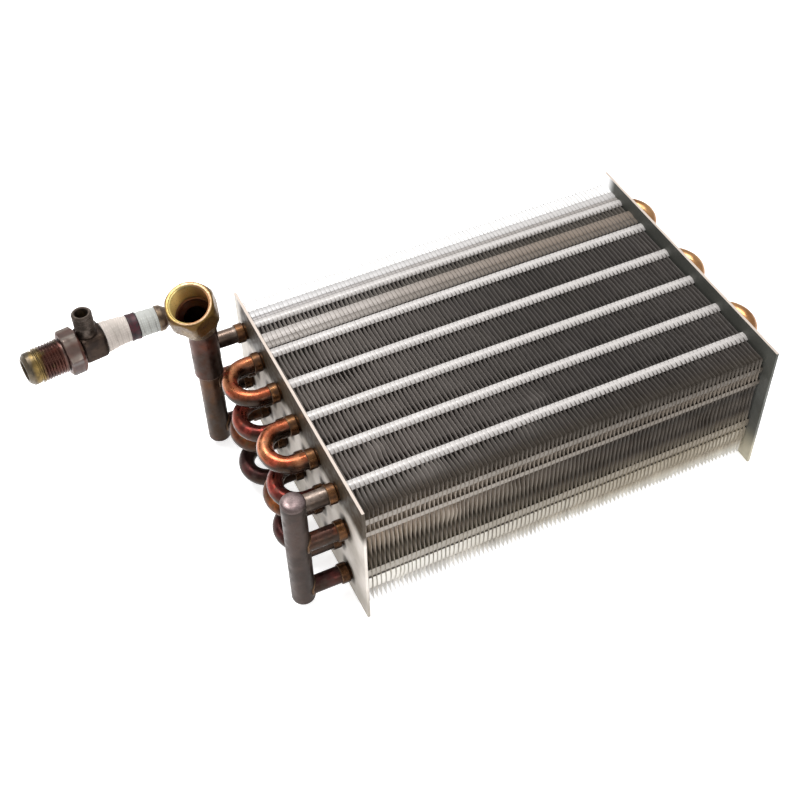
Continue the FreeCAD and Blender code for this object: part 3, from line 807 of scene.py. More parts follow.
def bell_radii(path, inner):
    """Radius along a hairpin's path: plain tube, widening into the bell beyond the plate."""
    out = []
    for p in path:
        deep = (PLATE_LEFT - 0.5 * MM) - p[0]
        t = min(max(deep / MM, 0.0), 1.0)
        if inner:
            out.append(TUBE_BORE + (TUBE_R + 0.12 * MM - TUBE_BORE) * min(max((deep - 0.3 * MM) / MM, 0), 1))
        else:
            out.append(TUBE_R + (BELL_R - TUBE_R) * t * t * (3 - 2 * t))
    return np.array(out)


def bend_points(x_bend, outward, y0, y1, z, steps=36):
    middle = np.array((x_bend, (y0 + y1) / 2, z))
    radius = abs(y0 - y1) / 2
    sign = 1 if y0 > y1 else -1
    points = []
    for t in np.linspace(0, math.pi, steps + 1):
        points.append(middle + np.array((outward * radius * math.sin(t), sign * radius * math.cos(t), 0)))
    return points


def bend_flatness(path, x_bend, outward):
    deep = np.clip((path[:, 0] - x_bend) * outward / BEND_R, 0, 1)
    return 0.07 * deep


def build_hairpin(row, pair, material):
    name = "hairpin_r%d_%d" % (row + 1, pair + 1)
    y0, y1, z = tube_y(row, 2 * pair), tube_y(row, 2 * pair + 1), ROW_Z[row]
    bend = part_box(name)[1].x - TUBE_R - BEND_R
    near = PLATE_LEFT + 1.0 * MM
    bell = [BELL_X] + [PLATE_LEFT - d * MM for d in (5.35, 4.6, 3.6, 2.6, 1.9, 1.5, 1.2, 0.9, 0.6, 0.3)]
    leg = [np.array((x, y0, z)) for x in bell] + straight((near, y0, z), (bend, y0, z), 12 * MM)
    back = [np.array((p[0], y1, z)) for p in leg[::-1]]
    path = joined(leg, bend_points(bend, 1, y0, y1, z), back)
    flat = bend_flatness(path, bend, 1)
    outer = tube_rings(path, bell_radii(path, False), 32, flat, row * 7.0 + pair, 0.05 * MM)
    inner = tube_rings(path, bell_radii(path, True), 32, flat)
    obj = skin(name + "_tube", outer + inner[::-1], True)
    return keep(obj, "coil", material, "hairpin", name)


def build_return(row, pair, material):
    name = "return_bend_r%d_%d" % (row + 1, pair + 1)
    low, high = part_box(name)
    z = (low.z + high.z) / 2
    y0, y1 = high.y - TUBE_R, low.y + TUBE_R
    bend = low.x + TUBE_R + BEND_R
    path = joined(straight((high.x, y0, z), (bend, y0, z), 1.5 * MM), bend_points(bend, -1, y0, y1, z),
                  straight((bend, y1, z), (high.x, y1, z), 1.5 * MM))
    flat = bend_flatness(path, bend, -1)
    obj = tube(name + "_tube", path, TUBE_R, TUBE_BORE, 40, flat, row * 3.1 + pair, 0.06 * MM)
    return keep(obj, "coil", material, "bend", name)


ELBOW_R = 7.25 * MM


def stub_path(row, end):
    index, header = (0, BACK_HEADER) if end == "back" else (TUBES - 1, FRONT_HEADER)
    y, z = tube_y(row, index), ROW_Z[row]
    start = (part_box("%s_stub_r%d" % (end, row + 1))[1].x, y, z)
    if row % 2:
        return joined(straight(start, (header.x + 3.5 * MM, y, z), 1.2 * MM))
    corner = np.array((header.x + ELBOW_R, y - ELBOW_R, z))
    turn = arc_points(corner, (header.x + ELBOW_R, y, z), (header.x, y - ELBOW_R, z), 18)
    return joined(straight(start, (header.x + ELBOW_R, y, z), 1.2 * MM), turn)


def build_stub(row, end, material):
    name = "%s_stub_r%d" % (end, row + 1)
    obj = tube(name + "_tube", stub_path(row, end), TUBE_R, TUBE_BORE, 40, None, row * 5.3, 0.06 * MM)
    return keep(obj, "coil", material, "stub", name)


def saddle_loop(row, end, around=40):
    """Where a stub's outside meets its header's outside."""
    header = BACK_HEADER if end == "back" else FRONT_HEADER
    radius = SUCTION_R if (row == 0 and end == "back") else HEADER_R
    rings = np.array(tube_rings(stub_path(row, end), TUBE_R, around))
    loop = []
    for j in range(around):
        line = rings[:, j]
        far = np.hypot(line[:, 0] - header.x, line[:, 1] - header.y) - radius
        inside = np.nonzero(far < 0)[0]
        k = max(1, inside[0]) if len(inside) else len(line) - 1
        a, b = far[k - 1], far[k]
        t = a / (a - b) if a > 0 > b else 1.0
        loop.append(line[k - 1] + (line[k] - line[k - 1]) * t)
    return np.array(loop)


def ring_loop(x, y, z, radius, around=30):
    turns = np.linspace(0, 2 * math.pi, around, endpoint=False)
    return np.array([(x, y + radius * math.cos(a), z + radius * math.sin(a)) for a in turns])


# ---------------------------------------------------------------- nut, fittings, headers

def hex_radius(half, soften=0.985):
    corner = half / math.cos(math.pi / 6)

    def radius(angle):
        local = (angle + math.pi / 6) % (math.pi / 3) - math.pi / 6
        return min(half / math.cos(local), corner * soften)
    return radius


def capped(radius, limit):
    return lambda angle: min(radius(angle), limit)


def thread_stations(s0, s1, major, depth, pitch, inward=False):
    """Helical thread: stations whose radius swings between major and major less depth."""
    stations = []
    count = int((s1 - s0) / (pitch / 8))
    for i in range(count + 1):
        s = s0 + (s1 - s0) * i / count
        fade = min(1.0, (s - s0) / pitch, (s1 - s) / pitch)

        def radius(angle, s=s, fade=fade):
            t = (s / pitch - angle / (2 * math.pi)) % 1.0
            tooth = abs(2 * t - 1) * depth * fade
            return major + tooth if inward else major - tooth
        stations.append((s, radius))
    return stations


def build_nut(material):
    flat = hex_radius(12.7 * MM)
    stations = mm([(0.8, 8.15), (0.8, 9.6), (1.1, 10.0), (1.6, 10.2), (5.6, 10.2), (6.4, 10.35), (11.4, 12.1),
                   (12.0, 12.25)])
    corners = [(12.15, 12.6), (12.6, 13.2), (13.2, 13.7), (14.2, 14.05), (20, 14.05), (23.6, 14.05),
               (25.0, 13.7), (26.2, 13.1), (27.0, 12.6)]
    stations += [(s, capped(flat, limit)) for s, limit in mm(corners)]
    stations += mm([(27.3, 12.35), (27.4, 12.0), (27.4, 11.0), (27.0, 10.75)])
    stations += thread_stations(12.4 * MM, 26.6 * MM, 10.17 * MM, 0.55 * MM, NUT_THREAD_PITCH, True)[::-1]
    stations += mm([(12.2, 10.5), (11.2, 10.5), (8.7, 8.07), (4, 8.06)])
    obj = spun("flare_nut_body", stations, nut_origin(), NUT_AXIS, 120, True, 26)
    return keep(obj, "nut", material, "nut", "flare_nut")


def nut_origin():
    joint = next(j for j in frame["joints"] if j["name"] == "flare_nut_spin")
    return Vector(joint["pos_m"]) - NUT_AXIS * 10.0 * MM


def build_suction(material):
    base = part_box("suction_tube")[0].z
    x, y = BACK_HEADER.x, BACK_HEADER.y
    end = nut_origin()
    bend_z, bend_r = 86.0 * MM, 24 * MM
    tilt = math.acos(NUT_AXIS.z)
    side = Vector((NUT_AXIS.x, NUT_AXIS.y, 0)).normalized()
    pivot = Vector((x, y, bend_z)) + side * bend_r
    turn = [pivot - side * bend_r * math.cos(t) + Vector((0, 0, bend_r * math.sin(t)))
            for t in np.linspace(0, tilt, 12)]
    flare_start = end + NUT_AXIS * 9.0 * MM
    path = joined(straight((x, y, base), (x, y, bend_z), 3 * MM), turn,
                  straight(turn[-1], flare_start, 1.5 * MM))
    radii = [SUCTION_R] * len(path)
    bores = [6.6 * MM] * len(path)
    flare = [(9.6, 8.5, 7.2), (10.2, 9.1, 7.8), (10.7, 9.55, 8.35), (11.1, 9.6, 8.75), (11.35, 9.4, 9.0)]
    for s, outer, inner in flare:
        path = np.vstack([path, np.array(end + NUT_AXIS * s * MM)])
        radii.append(outer * MM)
        bores.append(inner * MM)
    outer = tube_rings(path, np.array(radii), 48, None, 2.0, 0.06 * MM)
    inner = tube_rings(path, np.array(bores), 48)
    obj = skin("suction_tube_skin", outer + inner[::-1], True)
    return keep(obj, "coil", material, "suction", "suction_tube")


def build_header(name, radius, material, slot):
    low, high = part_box(name)
    x, y = (low.x + high.x) / 2, (low.y + high.y) / 2
    path = straight((x, y, low.z), (x, y, high.z), 2 * MM)
    obj = tube(name + "_skin", joined(path), radius, radius - 0.9 * MM, 48, None, x * 900, 0.08 * MM)
    return keep(obj, "coil", material, slot, name)


def build_cap(name, up, profile, material, slot):
    """Cap with a spigot, then (distance, radius) pairs in millimetres outward from its joint."""
    low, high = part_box(name)
    x, y = (low.x + high.x) / 2, (low.y + high.y) / 2
    z = low.z + 3 * MM if up else high.z - 3 * MM
    stations = mm([(-3, 0), (-3, 5.2), (0, 5.2), (0, 6.35)] + profile)
    obj = spun(name + "_skin", stations, (x, y, z), (0, 0, 1 if up else -1), 48, False, 40)
    return keep(obj, "coil", material, slot, name)


TEE_ORIGIN = Vector(LINE_MOUNT["pos_m"]) - LINE_AXIS * 30.25 * MM


def boolean(obj, other, kind):
    modifier = obj.modifiers.new(kind, "BOOLEAN")
    modifier.operation = kind
    modifier.solver = "EXACT"
    modifier.object = other
    depsgraph = bpy.context.evaluated_depsgraph_get()
    mesh = bpy.data.meshes.new_from_object(obj.evaluated_get(depsgraph))
    obj.modifiers.clear()
    obj.data = mesh
    bpy.data.objects.remove(other)


def rounded_block(name, sizes, place, bevel):
    bm = bmesh.new()
    bmesh.ops.create_cube(bm, size=1)
    bmesh.ops.scale(bm, vec=sizes, verts=bm.verts)
    bmesh.ops.bevel(bm, geom=bm.edges, offset=bevel, segments=4, profile=0.6, affect="EDGES")
    bmesh.ops.subdivide_edges(bm, edges=bm.edges, cuts=1)
    bmesh.ops.transform(bm, matrix=place, verts=bm.verts)
    mesh = bpy.data.meshes.new(name)
    bm.to_mesh(mesh)
    bm.free()
    return linked(name, mesh)


def line_matrix(s, up=0.0):
    """Frame on the line's axis: X along it, Z upright."""
    side = Vector((0, 0, 1)).cross(LINE_AXIS)
    rotation = Matrix((LINE_AXIS, side, Vector((0, 0, 1)))).transposed().to_4x4()
    return Matrix.Translation(TEE_ORIGIN + LINE_AXIS * s * MM + Vector((0, 0, up * MM))) @ rotation


def build_tee(material):
    sizes = (13.5 * MM, 15.2 * MM, 15.6 * MM)
    block = rounded_block("service_tee_body", sizes, line_matrix(6.75, 0.7), 2.6 * MM)
    foot = TEE_ORIGIN + LINE_AXIS * 8 * MM
    stations = mm([(0, 0), (0, 5.6), (8.8, 5.6), (9.6, 5.0), (10.6, 4.8), (13.0, 4.8), (13.5, 4.9)])
    stations += thread_stations(13.6 * MM, 21.6 * MM, 5.4 * MM, 0.55 * MM, PORT_THREAD_PITCH)
    stations += mm([(22.1, 5.0), (22.5, 4.5), (22.5, 3.9), (22.1, 3.45), (11.0, 3.4), (11.0, 2.75),
                    (9.0, 2.75), (9.0, 0)])
    port = spun("service_port", stations, foot, (0, 0, 1), 56, False, 30)
    boolean(block, port, "UNION")
    smooth(block.data, 30)
    return keep(block, "coil", material, "tee", "service_tee")


def build_male(material):
    flat = hex_radius(11.11 * MM)
    turn = math.radians(16)
    stations = mm([(10.4, 3.8), (10.4, 5.0), (13.4, 5.0), (13.5, 9.5)])
    corners = [(13.5, 10.6), (13.9, 11.4), (14.4, 12.3), (14.8, 13.0), (18, 13.0), (21.2, 13.0), (21.7, 12.3),
               (22.2, 11.4), (22.5, 10.6)]
    stations += [(s, lambda a, k=limit: capped(flat, k)(a + turn)) for s, limit in mm(corners)]
    stations += mm([(22.5, 9.0), (22.7, 8.4), (23.3, 8.4)])
    stations += thread_stations(23.5 * MM, 37.0 * MM, 9.5 * MM, 0.8 * MM, LINE_THREAD_PITCH)
    stations += mm([(37.2, 8.4), (37.9, 8.3), (38.2, 8.9), (41.5, 8.95), (42.0, 8.8), (43.6, 7.2),
                    (44.0, 6.6), (44.0, 5.9), (43.6, 5.5), (24.2, 5.5), (24.0, 3.8)])
    obj = spun("male_fitting_body", stations, TEE_ORIGIN, LINE_AXIS, 96, True, 28)
    return keep(obj, "coil", material, "male", "male_fitting")


def line_path(x0, tail):
    """Centre of the taped pipe from x0 to a distance past its small bend."""
    z, y = centre("tape_wrap_near").z, centre("tape_wrap_near").y
    yaw = math.atan2(-LINE_AXIS.y, -LINE_AXIS.x)
    bend_end = TEE_ORIGIN - LINE_AXIS * 5.3 * MM
    start_x = bend_end.x + 25 * MM * math.sin(yaw)
    turn = []
    for t in np.linspace(0, yaw, 8):
        turn.append((start_x - 25 * MM * math.sin(t), y - 25 * MM * (1 - math.cos(t)), z))
    tail_end = bend_end + LINE_AXIS * tail
    head = straight((x0, y, z), (start_x, y, z), 0.5 * MM)
    return joined(head, turn, straight(bend_end, tail_end, 0.5 * MM))


def build_wrap(name, path, r_start, r_end, material, slot, laps):
    """Tape wound round the pipe: each lap steps up over the one before and frays a little."""
    path = np.asarray(path)
    length = np.concatenate([[0], np.cumsum(np.linalg.norm(np.diff(path, axis=0), axis=1))])
    _, side, up = path_frames(path)
    around = 56
    angles = np.linspace(0, 2 * math.pi, around, endpoint=False)
    rings = []
    total = length[-1]
    for p, s, u, l in zip(path, side, up, length):
        share = l / total
        base = r_start + (r_end - r_start) * share
        ring = []
        for a in angles:
            lap = (share * laps - a / (2 * math.pi)) % 1.0
            step = 0.38 * MM * (1 - lap) ** 0.7
            q = Vector(p) * 300 + Vector((math.cos(a), math.sin(a), 0)) * 1.3
            r = base - 0.38 * MM + step + 0.12 * MM * noise.noise(q)
            ring.append(p + (s * math.cos(a) + u * math.sin(a)) * r)
        rings.append(ring)
    ends = tube_rings(path, 6.45 * MM, around)
    obj = skin(name + "_tape", rings + ends[::-1], True, 60)
    return keep(obj, "coil", material, slot, name)


def build_sleeve(name, profile, around, material, slot):
    origin = (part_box(name)[0].x, centre(name).y, centre(name).z)
    keep(spun(name + "_skin", mm(profile), origin, (1, 0, 0), around), "coil", material, slot, name)


def build_line(materials):
    path = line_path(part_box("line_pipe")[1].x, 9.6 * MM)
    obj = tube("line_pipe_skin", path, 6.35 * MM, 5.35 * MM, 40)
    keep(obj, "coil", materials["line"], "line", "line_pipe")
    low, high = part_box("tape_wrap_near")
    y, z = centre("tape_wrap_near").y, centre("tape_wrap_near").z
    near = straight((high.x, y, z), (low.x, y, z), 0.35 * MM)
    build_wrap("tape_wrap_near", near, 6.9 * MM, 7.1 * MM, materials["tape"], "tape", 3)
    far = line_path(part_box("tape_wrap_far")[1].x, 5.2 * MM)
    build_wrap("tape_wrap_far", far, 7.2 * MM, 8.6 * MM, materials["tape_aged"], "tape_aged", 4)
    band = rounded([(0, 6.45), (0, 7.3), (0.5, 7.5), (2.2, 7.2), (3.2, 7.2), (4.8, 7.5), (5.3, 7.3),
                    (5.3, 6.45)], 0.25)
    build_sleeve("clamp_band", band, 56, materials["band"], "band")
    collar = rounded([(0, 6.45), (0, 7.0), (0.4, 7.2), (2.8, 7.0), (5.4, 5.2), (7.0, 4.6), (7.0, 3.3),
                      (3.4, 3.3), (3.3, 6.45)], 0.3)
    build_sleeve("line_collar", collar, 48, materials["collar"], "collar")


# ---------------------------------------------------------------- the whole object

def build_spring(material):
    """The valve spring, coiled like the CAD one."""
    low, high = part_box("valve_spring")
    middle = (low + high) / 2
    radius = (high.x - low.x) / 2 - SPRING_WIRE
    turns = np.linspace(0, SPRING_TURNS, SPRING_TURNS * SPRING_STEPS + 1)
    rise = np.linspace(low.z + SPRING_WIRE, high.z - SPRING_WIRE, len(turns))
    path = [(middle.x + radius * math.cos(2 * math.pi * t), middle.y + radius * math.sin(2 * math.pi * t), z)
            for t, z in zip(turns, rise)]
    rings = np.array(tube_rings(path, SPRING_WIRE, SPRING_AROUND))
    last = (len(path) - 1) * SPRING_AROUND
    ends = [tuple(range(SPRING_AROUND)), tuple(range(last, last + SPRING_AROUND))[::-1]]
    faces = skin_faces(len(path), SPRING_AROUND, False) + ends
    spring = mesh_object("valve_spring_wire", rings.reshape(-1, 3), faces)
    keep(spring, "coil", material, "spring", "valve_spring")
    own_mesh(spring)


# Copper finishes: bare, oxide, patina, cover, patches, roughness, then any gold, painted shade strength and blush.
COPPERS = {
    "bright": ((0.66, 0.27, 0.12), (0.36, 0.09, 0.035), (0.20, 0.13, 0.06), 0.5, 0.3, (0.18, 0.4),
               (0.36, 0.17, 0.06), 0.94, (0.60, 0.10, 0.05)),
    "red": ((0.30, 0.055, 0.028), (0.12, 0.02, 0.014), (0.10, 0.045, 0.02), 0.6, 0.35, (0.22, 0.46),
            (0.22, 0.10, 0.04), 0.9, (0.34, 0.05, 0.035)),
    "olive": ((0.29, 0.088, 0.024), (0.12, 0.034, 0.012), (0.12, 0.07, 0.02), 0.6, 0.5, (0.3, 0.55),
              (0.18, 0.10, 0.04), 0.8),
    "plum": ((0.13, 0.036, 0.032), (0.045, 0.016, 0.014), (0.08, 0.042, 0.03), 0.6, 0.4, (0.3, 0.55),
             (0.08, 0.045, 0.03), 0.8),
    "stub": ((0.40, 0.32, 0.27), (0.20, 0.145, 0.115), (0.21, 0.18, 0.14), 0.5, 0.4, (0.26, 0.5),
             (0.28, 0.21, 0.13), 0.9),
    "stub_low": ((0.22, 0.105, 0.075), (0.10, 0.05, 0.038), (0.12, 0.09, 0.065), 0.6, 0.35, (0.26, 0.5),
                 (0.14, 0.065, 0.035), 0.88, (0.26, 0.08, 0.04)),
    "front_header": ((0.072, 0.047, 0.041), (0.027, 0.019, 0.019), (0.055, 0.040, 0.032), 0.55, 0.4,
                     (0.32, 0.58), None, 0.55),
    "cap": ((0.25, 0.19, 0.185), (0.14, 0.10, 0.10), (0.10, 0.075, 0.07), 0.45, 0.3, (0.35, 0.6), None, 0.6),
    "back_header": ((0.15, 0.062, 0.025), (0.065, 0.030, 0.013), (0.048, 0.034, 0.026), 0.5, 0.4,
                    (0.3, 0.52), None, 0.7),
    "suction": ((0.16, 0.045, 0.028), (0.07, 0.02, 0.014), (0.10, 0.048, 0.026), 0.55, 0.35,
                (0.28, 0.52), None, 0.7),
    "line": ((0.40, 0.28, 0.22), (0.20, 0.14, 0.12), (0.22, 0.18, 0.14), 0.5, 0.4, (0.3, 0.5)),
    "inner": ((0.72, 0.42, 0.24), (0.42, 0.20, 0.10), (0.30, 0.22, 0.14), 0.4, 0.3),
}
BEND_FINISH = ("bright", "red", "olive", "plum")
STUB_FINISH = ("stub", "stub_low", "stub_low", "plum")


def build_fin_pack():
    keep(build_fins(), "coil", fin_material(), "fin", "fins")
    # name, strips, below, cover, drop, place, dip, then light, shade and the light toward the right; these colours
    # carry painted light and shade
    tabs = [
        ("ridges", RIDGES, 0.0, 1.0, 1.2, top_place, 0.8,
         (0.54, 0.515, 0.50), (0.43, 0.405, 0.385), (0.56, 0.53, 0.51)),
        ("back_strip", top_strip(7.6, 4.6), 0.2, 1.0, 0.3, top_place, 0.3,
         (0.53, 0.52, 0.52), (0.43, 0.42, 0.41), (0.56, 0.54, 0.53)),
        ("pale_strips", top_strip(14.0, 7.4), 0.1, 1.0, 0.25, top_place, 0.2,
         (0.84, 0.83, 0.82), (0.74, 0.73, 0.72), (0.86, 0.85, 0.84)),
        ("dim_strip", top_strip(3.9, 2.6), 0.6, 1.0, 0.3, top_place, 0.3,
         (0.38, 0.36, 0.355), (0.28, 0.26, 0.25), (0.36, 0.33, 0.31)),
        ("band_strip", top_strip(-12.4, 6.2), 0.4, 1.0, 0.6, top_place, 0.3,
         (0.47, 0.44, 0.42), (0.32, 0.285, 0.26), (0.225, 0.18, 0.145)),
        ("band_low_strip", top_strip(-18.0, 4.4), 0.9, 1.0, 0.5, top_place, 0.3,
         (0.31, 0.285, 0.265), (0.19, 0.165, 0.145), (0.17, 0.14, 0.115)),
        ("upper_rib", rib(69.4, 4.6), 0.4, 1.0, 0.4, front_place, 0.3,
         (0.31, 0.277, 0.245), (0.23, 0.20, 0.17), (0.11, 0.092, 0.075)),
        ("middle_rib", rib(59.8, 4.2), 0.2, 1.0, 0.6, front_place, 0.3,
         (0.33, 0.295, 0.26), (0.25, 0.22, 0.19), (0.16, 0.135, 0.11)),
        ("lower_rib", rib(26.9, 6.0), 0.4, 1.0, 0.4, front_place, 0.3,
         (0.38, 0.35, 0.31), (0.30, 0.27, 0.22), (0.23, 0.195, 0.15)),
        ("foot_rib", rib(17.7, 9.4), 0.6, 0.9, 0.4, front_place, 0.4,
         (0.88, 0.86, 0.81), (0.74, 0.70, 0.62), (0.33, 0.285, 0.215)),
    ]
    for name, *shape, light, shade, right in tabs:
        piece = build_tabs("fin_" + name, *shape)
        keep(piece, "coil", tab_material("tab_" + name, light, shade, right), "fin")
    # The plates' colours carry painted light and shade: the right plate is painted dark as shade, with its low
    # part and back corner painted light.
    dress("left_end_plate", plate_material(
        "plate_left", (0.76, 0.70, 0.64), (0.50, 0.45, 0.39), (0.40, 0.36, 0.31), (0.055, 0.040, 0.025),
        (0.62, 0.58, 0.53)))
    dress("right_end_plate", plate_material(
        "plate_right", (0.14, 0.14, 0.128), (0.085, 0.085, 0.073), (0.50, 0.46, 0.35), (0.08, 0.08, 0.07),
        (0.97, 0.97, 0.97)))


def build_tubes(coppers):
    hair = hairpin_material()
    for row in range(ROWS):
        for pair in range(TUBES // 2):
            build_hairpin(row, pair, hair)
        for pair in range(TUBES // 2 - 1):
            build_return(row, pair, coppers[BEND_FINISH[row]])
        for end in ("back", "front"):
            build_stub(row, end, coppers[STUB_FINISH[row]])


def build_braze():
    solder = solder_material()
    mouths = [ring_loop(BELL_X, tube_y(row, i), ROW_Z[row], TUBE_R + 0.35 * MM)
              for row in range(ROWS) for i in range(TUBES)]
    keep(beads("bell_braze", mouths, 0.38 * MM), "coil", solder, "braze", "braze_rings")
    saddles = [saddle_loop(row, end) for row in range(ROWS) for end in ("back", "front")]
    keep(beads("header_braze", saddles, 0.7 * MM), "coil", solder, "braze")
    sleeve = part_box("suction_tube")[0].z
    reach = 7.1 * MM
    turns = np.linspace(0, 2 * math.pi, 40, endpoint=False)
    sleeve_loop = [(BACK_HEADER.x + reach * math.cos(a), BACK_HEADER.y + reach * math.sin(a), sleeve)
                   for a in turns]
    keep(beads("sleeve_braze", [sleeve_loop], 0.8 * MM), "coil", solder, "braze")


def build_headers(coppers):
    build_header("front_header_tube", HEADER_R, coppers["front_header"], "header_front")
    build_header("back_header_tube", HEADER_R, coppers["back_header"], "header_back")
    build_suction(coppers["suction"])
    build_cap("front_header_top_cap", True, [(1.2, 6.4), (2.0, 6.1), (2.7, 5.2), (3.1, 3.5), (3.2, 1.5),
              (3.2, 0)], coppers["cap"], "cap")
    build_cap("front_header_bottom_cap", False, [(0.9, 6.1), (1.8, 5.2), (2.4, 3.8), (2.75, 2.0),
              (2.8, 0)], coppers["front_header"], "header_front")
    build_cap("back_header_bottom_cap", False, [(1.4, 6.35), (1.9, 6.1), (2.2, 5.5), (2.2, 0)],
              coppers["plum"], "header_back")


def build_object():
    coppers = {name: copper("copper_" + name, *finish) for name, finish in COPPERS.items()}
    build_fin_pack()
    build_tubes(coppers)
    build_braze()
    build_headers(coppers)
    build_nut(nut_material(nut_origin()))
    build_tee(tee_material())
    build_male(male_material())
    build_line({
        "line": coppers["line"],
        "tape": tape_material("tape_light", (0.52, 0.53, 0.50), (0.25, 0.25, 0.24)),
        "tape_aged": tape_material("tape_aged", (0.62, 0.55, 0.50), (0.30, 0.27, 0.24)),
        "band": plain_metal("band_dark", (0.018, 0.015, 0.017), (0.06, 0.007, 0.013), 0.3, 0.55),
        "collar": plain_metal("collar_dark", (0.22, 0.16, 0.105), (0.10, 0.07, 0.052), 0.8, 0.45),
    })
    core = plain_metal("core_brass", (0.78, 0.62, 0.30), (0.50, 0.38, 0.18), 0.95, 0.3)
    dress("dip_tube", coppers["inner"])
    dress("header_partition", coppers["inner"])
    dress("valve_core", core)
    dress("valve_pin", core)
    build_spring(plain_metal("spring_steel", (0.62, 0.62, 0.64), (0.40, 0.40, 0.42), 0.95, 0.3))


def hairpin_material():
    """Golden copper bends on the right; on the left, brazed bells that darken toward the lower rows. Painted shade
    inside the fin pack and on the undersides.
    """
    s = Shader("copper_hairpin", metallic=0.9)
    broad = s.noise(55, 3)
    medium = s.noise(260, 4)
    golden = s.mix(s.spread(broad, 0.35, 0.65), (0.52, 0.29, 0.13), (0.34, 0.155, 0.06))
    bell = s.mix(s.spread(medium, 0.35, 0.65), (0.23, 0.105, 0.042), (0.10, 0.05, 0.028))
    height = s.spread(s.axis("Z"), ROW_Z[2], ROW_Z[0], 0.25, 1.0)
    bell = s.mix(height, s.mix(1.0, bell, (0.25, 0.23, 0.22), "MULTIPLY"), bell)
    base = s.mix(s.spread(s.axis("X"), PLATE_LEFT, PLATE_LEFT + 5 * MM), bell, golden)
    # Painted shade: near black where the tube runs inside the fin pack.
    inside = s.math("ABSOLUTE", s.math("SUBTRACT", s.axis("X"), (PLATE_LEFT + PLATE_RIGHT) / 2))
    half = (PLATE_RIGHT - PLATE_LEFT) / 2
    base = s.mix(s.spread(inside, half - 1 * MM, half - 2.5 * MM), base, (0.06, 0.05, 0.045))
    # Painted shade on the undersides.
    underside_shade = s.spread(s.upward(), 0.5, -0.5, 0.0, 0.85)
    base = s.mix(underside_shade, base, (0.04, 0.024, 0.012))
    s.roughness(s.spread(medium, 0.3, 0.7, 0.22, 0.45))
    return s.finished(base, s.math("ADD", s.noise(1500, 3), s.times(medium, 1.5)), 0.35, 0.05 * MM)


# The side of the nut with wear and painted light, square to its axis.
NUT_WORN_LIT_SIDE = (-0.86, 0.505, -0.016)
# The wall inside it that is painted in shade, square to both.
NUT_SHADED = (0.455, 0.788, 0.409)


def nut_material(origin):
    """Dull brass, oxidised outside, with bright bare thread inside that also carries painted light; wear and
    painted light on one side, painted shade on the far wall and deep at the seat.
    """
    s = Shader("nut_brass", metallic=0.9)
    radius = s.radius(origin, NUT_AXIS)
    broad = s.noise(70, 3)
    fine = s.noise(900, 4)
    outside = s.mix(s.spread(broad, 0.35, 0.65), (0.14, 0.08, 0.017), (0.085, 0.045, 0.012))
    outside = s.mix(s.spread(s.noise(210, 4), 0.5, 0.75, 0.0, 0.8), outside, (0.075, 0.036, 0.025))
    worn = s.along(origin, NUT_WORN_LIT_SIDE)
    # Bright bare brass inside, partly painted light; wear and painted light keep it gold on one side and coppery
    # on the other.
    inside = s.mix(s.spread(broad, 0.35, 0.7), (0.92, 0.76, 0.30), (0.74, 0.54, 0.17))
    inside = s.mix(s.spread(worn, 3.0 * MM, -3.0 * MM), inside, (0.62, 0.30, 0.14))
    rim = s.mix(s.spread(broad, 0.3, 0.6), (0.40, 0.29, 0.19), (0.28, 0.18, 0.10))
    # Wear and painted light: the rim turns goldish on the same side.
    rim = s.mix(s.spread(worn, 2 * MM, 8 * MM, 0.0, 0.7), rim, (0.32, 0.23, 0.06))
    deep = s.along(origin, NUT_AXIS)
    lip = s.times(s.spread(radius, 12.2 * MM, 11.6 * MM), s.spread(deep, 14 * MM, 16 * MM))
    base = s.mix(lip, outside, rim)
    above_neck = s.spread(deep, 8.0 * MM, 8.6 * MM)
    hollow = s.times(s.spread(radius, 10.9 * MM, 10.6 * MM), above_neck)
    base = s.mix(hollow, base, inside)
    # Painted shade on the far wall inside.
    far = s.spread(s.along(origin, NUT_SHADED), 5 * MM, 9.5 * MM, 0.0, 0.8)
    base = s.mix(s.times(far, hollow), base, (0.11, 0.075, 0.028))
    # Painted shade deep inside, at the seat.
    seat = s.times(s.spread(deep, 13.0 * MM, 12.0 * MM), s.spread(radius, 11.2 * MM, 10.6 * MM))
    base = s.mix(s.times(seat, above_neck), base, (0.36, 0.17, 0.08))
    s.metallic(s.spread(hollow, 0, 1, 0.9, 0.45))
    s.roughness(s.spread(fine, 0.3, 0.7, 0.26, 0.5))
    return s.finished(base, fine, 0.3, 0.04 * MM)


def tee_material():
    """Near-black oxide on the block, a little greyer on the port above it."""
    s = Shader("tee_oxide", metallic=0.85)
    medium = s.noise(170, 4)
    block = s.mix(s.spread(medium, 0.35, 0.65), (0.048, 0.031, 0.022), (0.022, 0.014, 0.011))
    port = s.mix(s.spread(medium, 0.35, 0.65), (0.105, 0.082, 0.068), (0.055, 0.042, 0.034))
    top = centre("service_tee").z
    s.noisy(900, 4, 0.3, 0.56)
    base = s.mix(s.spread(s.axis("Z"), top + 1 * MM, top + 4 * MM), block, port)
    return s.finished(base, s.noise(700, 4), 0.3, 0.05 * MM)


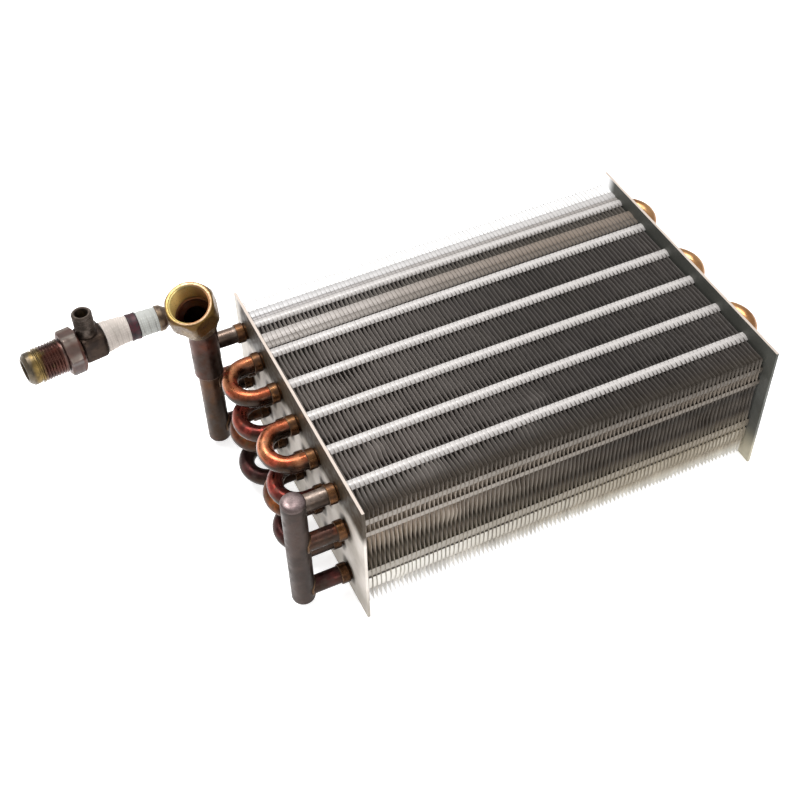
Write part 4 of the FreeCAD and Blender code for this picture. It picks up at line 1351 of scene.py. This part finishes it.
def male_material():
    """Reddish-brown oxide on the hexagon and thread, bare brass toward the nose."""
    s = Shader("male_oxide", metallic=0.85)
    x = s.axis("X")
    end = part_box("male_fitting")[0].x
    base = s.mix(s.spread(s.noise(90, 4), 0.35, 0.7), (0.115, 0.048, 0.036), (0.05, 0.022, 0.018))
    green = s.spread(s.noise(140, 3), 0.55, 0.8, 0.0, 0.7)
    base = s.mix(green, base, (0.13, 0.115, 0.05))
    rim = s.spread(s.math("ABSOLUTE", s.math("SUBTRACT", x, end + 26.2 * MM)), 4.6 * MM, 4.0 * MM)
    corner = s.spread(s.radius(TEE_ORIGIN, LINE_AXIS), 11.2 * MM, 12.0 * MM, 0.25, 1.0)
    worn = s.times(s.times(rim, corner), s.spread(s.noise(120, 3), 0.3, 0.6, 0.5, 1.0))
    dusty = s.mix(s.spread(s.upward(), 0.0, 0.5), (0.11, 0.095, 0.09), (0.27, 0.23, 0.20))
    base = s.mix(worn, base, dusty)
    olive = s.spread(x, end + 9 * MM, end + 12 * MM, 1.0, 0.0)
    band = s.mix(s.spread(s.noise(200, 3), 0.35, 0.7), (0.21, 0.14, 0.045), (0.10, 0.07, 0.03))
    base = s.mix(olive, base, band)
    nose = s.spread(x, end + 4 * MM, end + 6 * MM, 1.0, 0.0)
    worn_nose = s.mix(s.spread(s.noise(260, 3), 0.35, 0.7), (0.11, 0.085, 0.055), (0.06, 0.048, 0.034))
    base = s.mix(nose, base, worn_nose)
    s.noisy(400, 3, 0.28, 0.5)
    return s.finished(base, s.noise(900, 3), 0.3, 0.05 * MM)


def dress(node, material):
    obj = frame["nodes"][node]
    obj.data.materials.clear()
    obj.data.materials.append(material)


# ---------------------------------------------------------------- camera, floor and light

def add_camera():
    """Above the front left: heading from +Y toward +X, then look down, then roll."""
    heading, down, roll = math.radians(24.52), math.radians(47.57), math.radians(-1.33)
    data = bpy.data.cameras.new("camera")
    data.lens = 59.5
    data.sensor_width = 36
    camera = linked("camera", data)
    turn = (Matrix.Rotation(-heading, 4, "Z") @ Matrix.Rotation(math.pi / 2 - down, 4, "X")
            @ Matrix.Rotation(roll, 4, "Z"))
    camera.matrix_world = Matrix.Translation((-0.2103, -0.4423, 0.5862)) @ turn
    bpy.context.scene.camera = camera


def add_floor():
    """Plain pale floor."""
    half = 12.0
    corners = [(-half, -half, 0), (half, -half, 0), (half, half, 0), (-half, half, 0)]
    mesh = bpy.data.meshes.new("floor")
    mesh.from_pydata(corners, [], [(0, 1, 2, 3)])
    floor = linked("floor", mesh)
    s = Shader("floor_white", roughness=0.9)
    s.surface.inputs["Base Color"].default_value = (0.95, 0.95, 0.95, 1)
    s.surface.inputs["Specular IOR Level"].default_value = 0.1
    s.surface.inputs["Emission Color"].default_value = (1, 1, 1, 1)
    s.surface.inputs["Emission Strength"].default_value = 0.66
    mesh.materials.append(s.material)


def area_light(name, place, target, size, power):
    data = bpy.data.lights.new(name, "AREA")
    data.shape = "RECTANGLE"
    data.size, data.size_y = size
    data.energy = power
    light = linked(name, data)
    direction = Vector(target) - Vector(place)
    light.matrix_world = Matrix.Translation(place) @ direction.to_track_quat("-Z", "Y").to_matrix().to_4x4()


def add_light():
    world = bpy.data.worlds.new("studio")
    world.use_nodes = True
    world.node_tree.nodes["Background"].inputs["Color"].default_value = (1, 1, 1, 1)
    world.node_tree.nodes["Background"].inputs["Strength"].default_value = 0.6
    bpy.context.scene.world = world
    area_light("key", (-0.25, 0.45, 1.2), (0, 0, 0.05), (0.7, 0.7), 16)
    area_light("fill", (0.4, -1.2, 0.7), (0, 0, 0.05), (1.0, 0.6), 4)
    bpy.context.scene.view_settings.view_transform = "Standard"


add_camera()
add_floor()
add_light()
build_object()
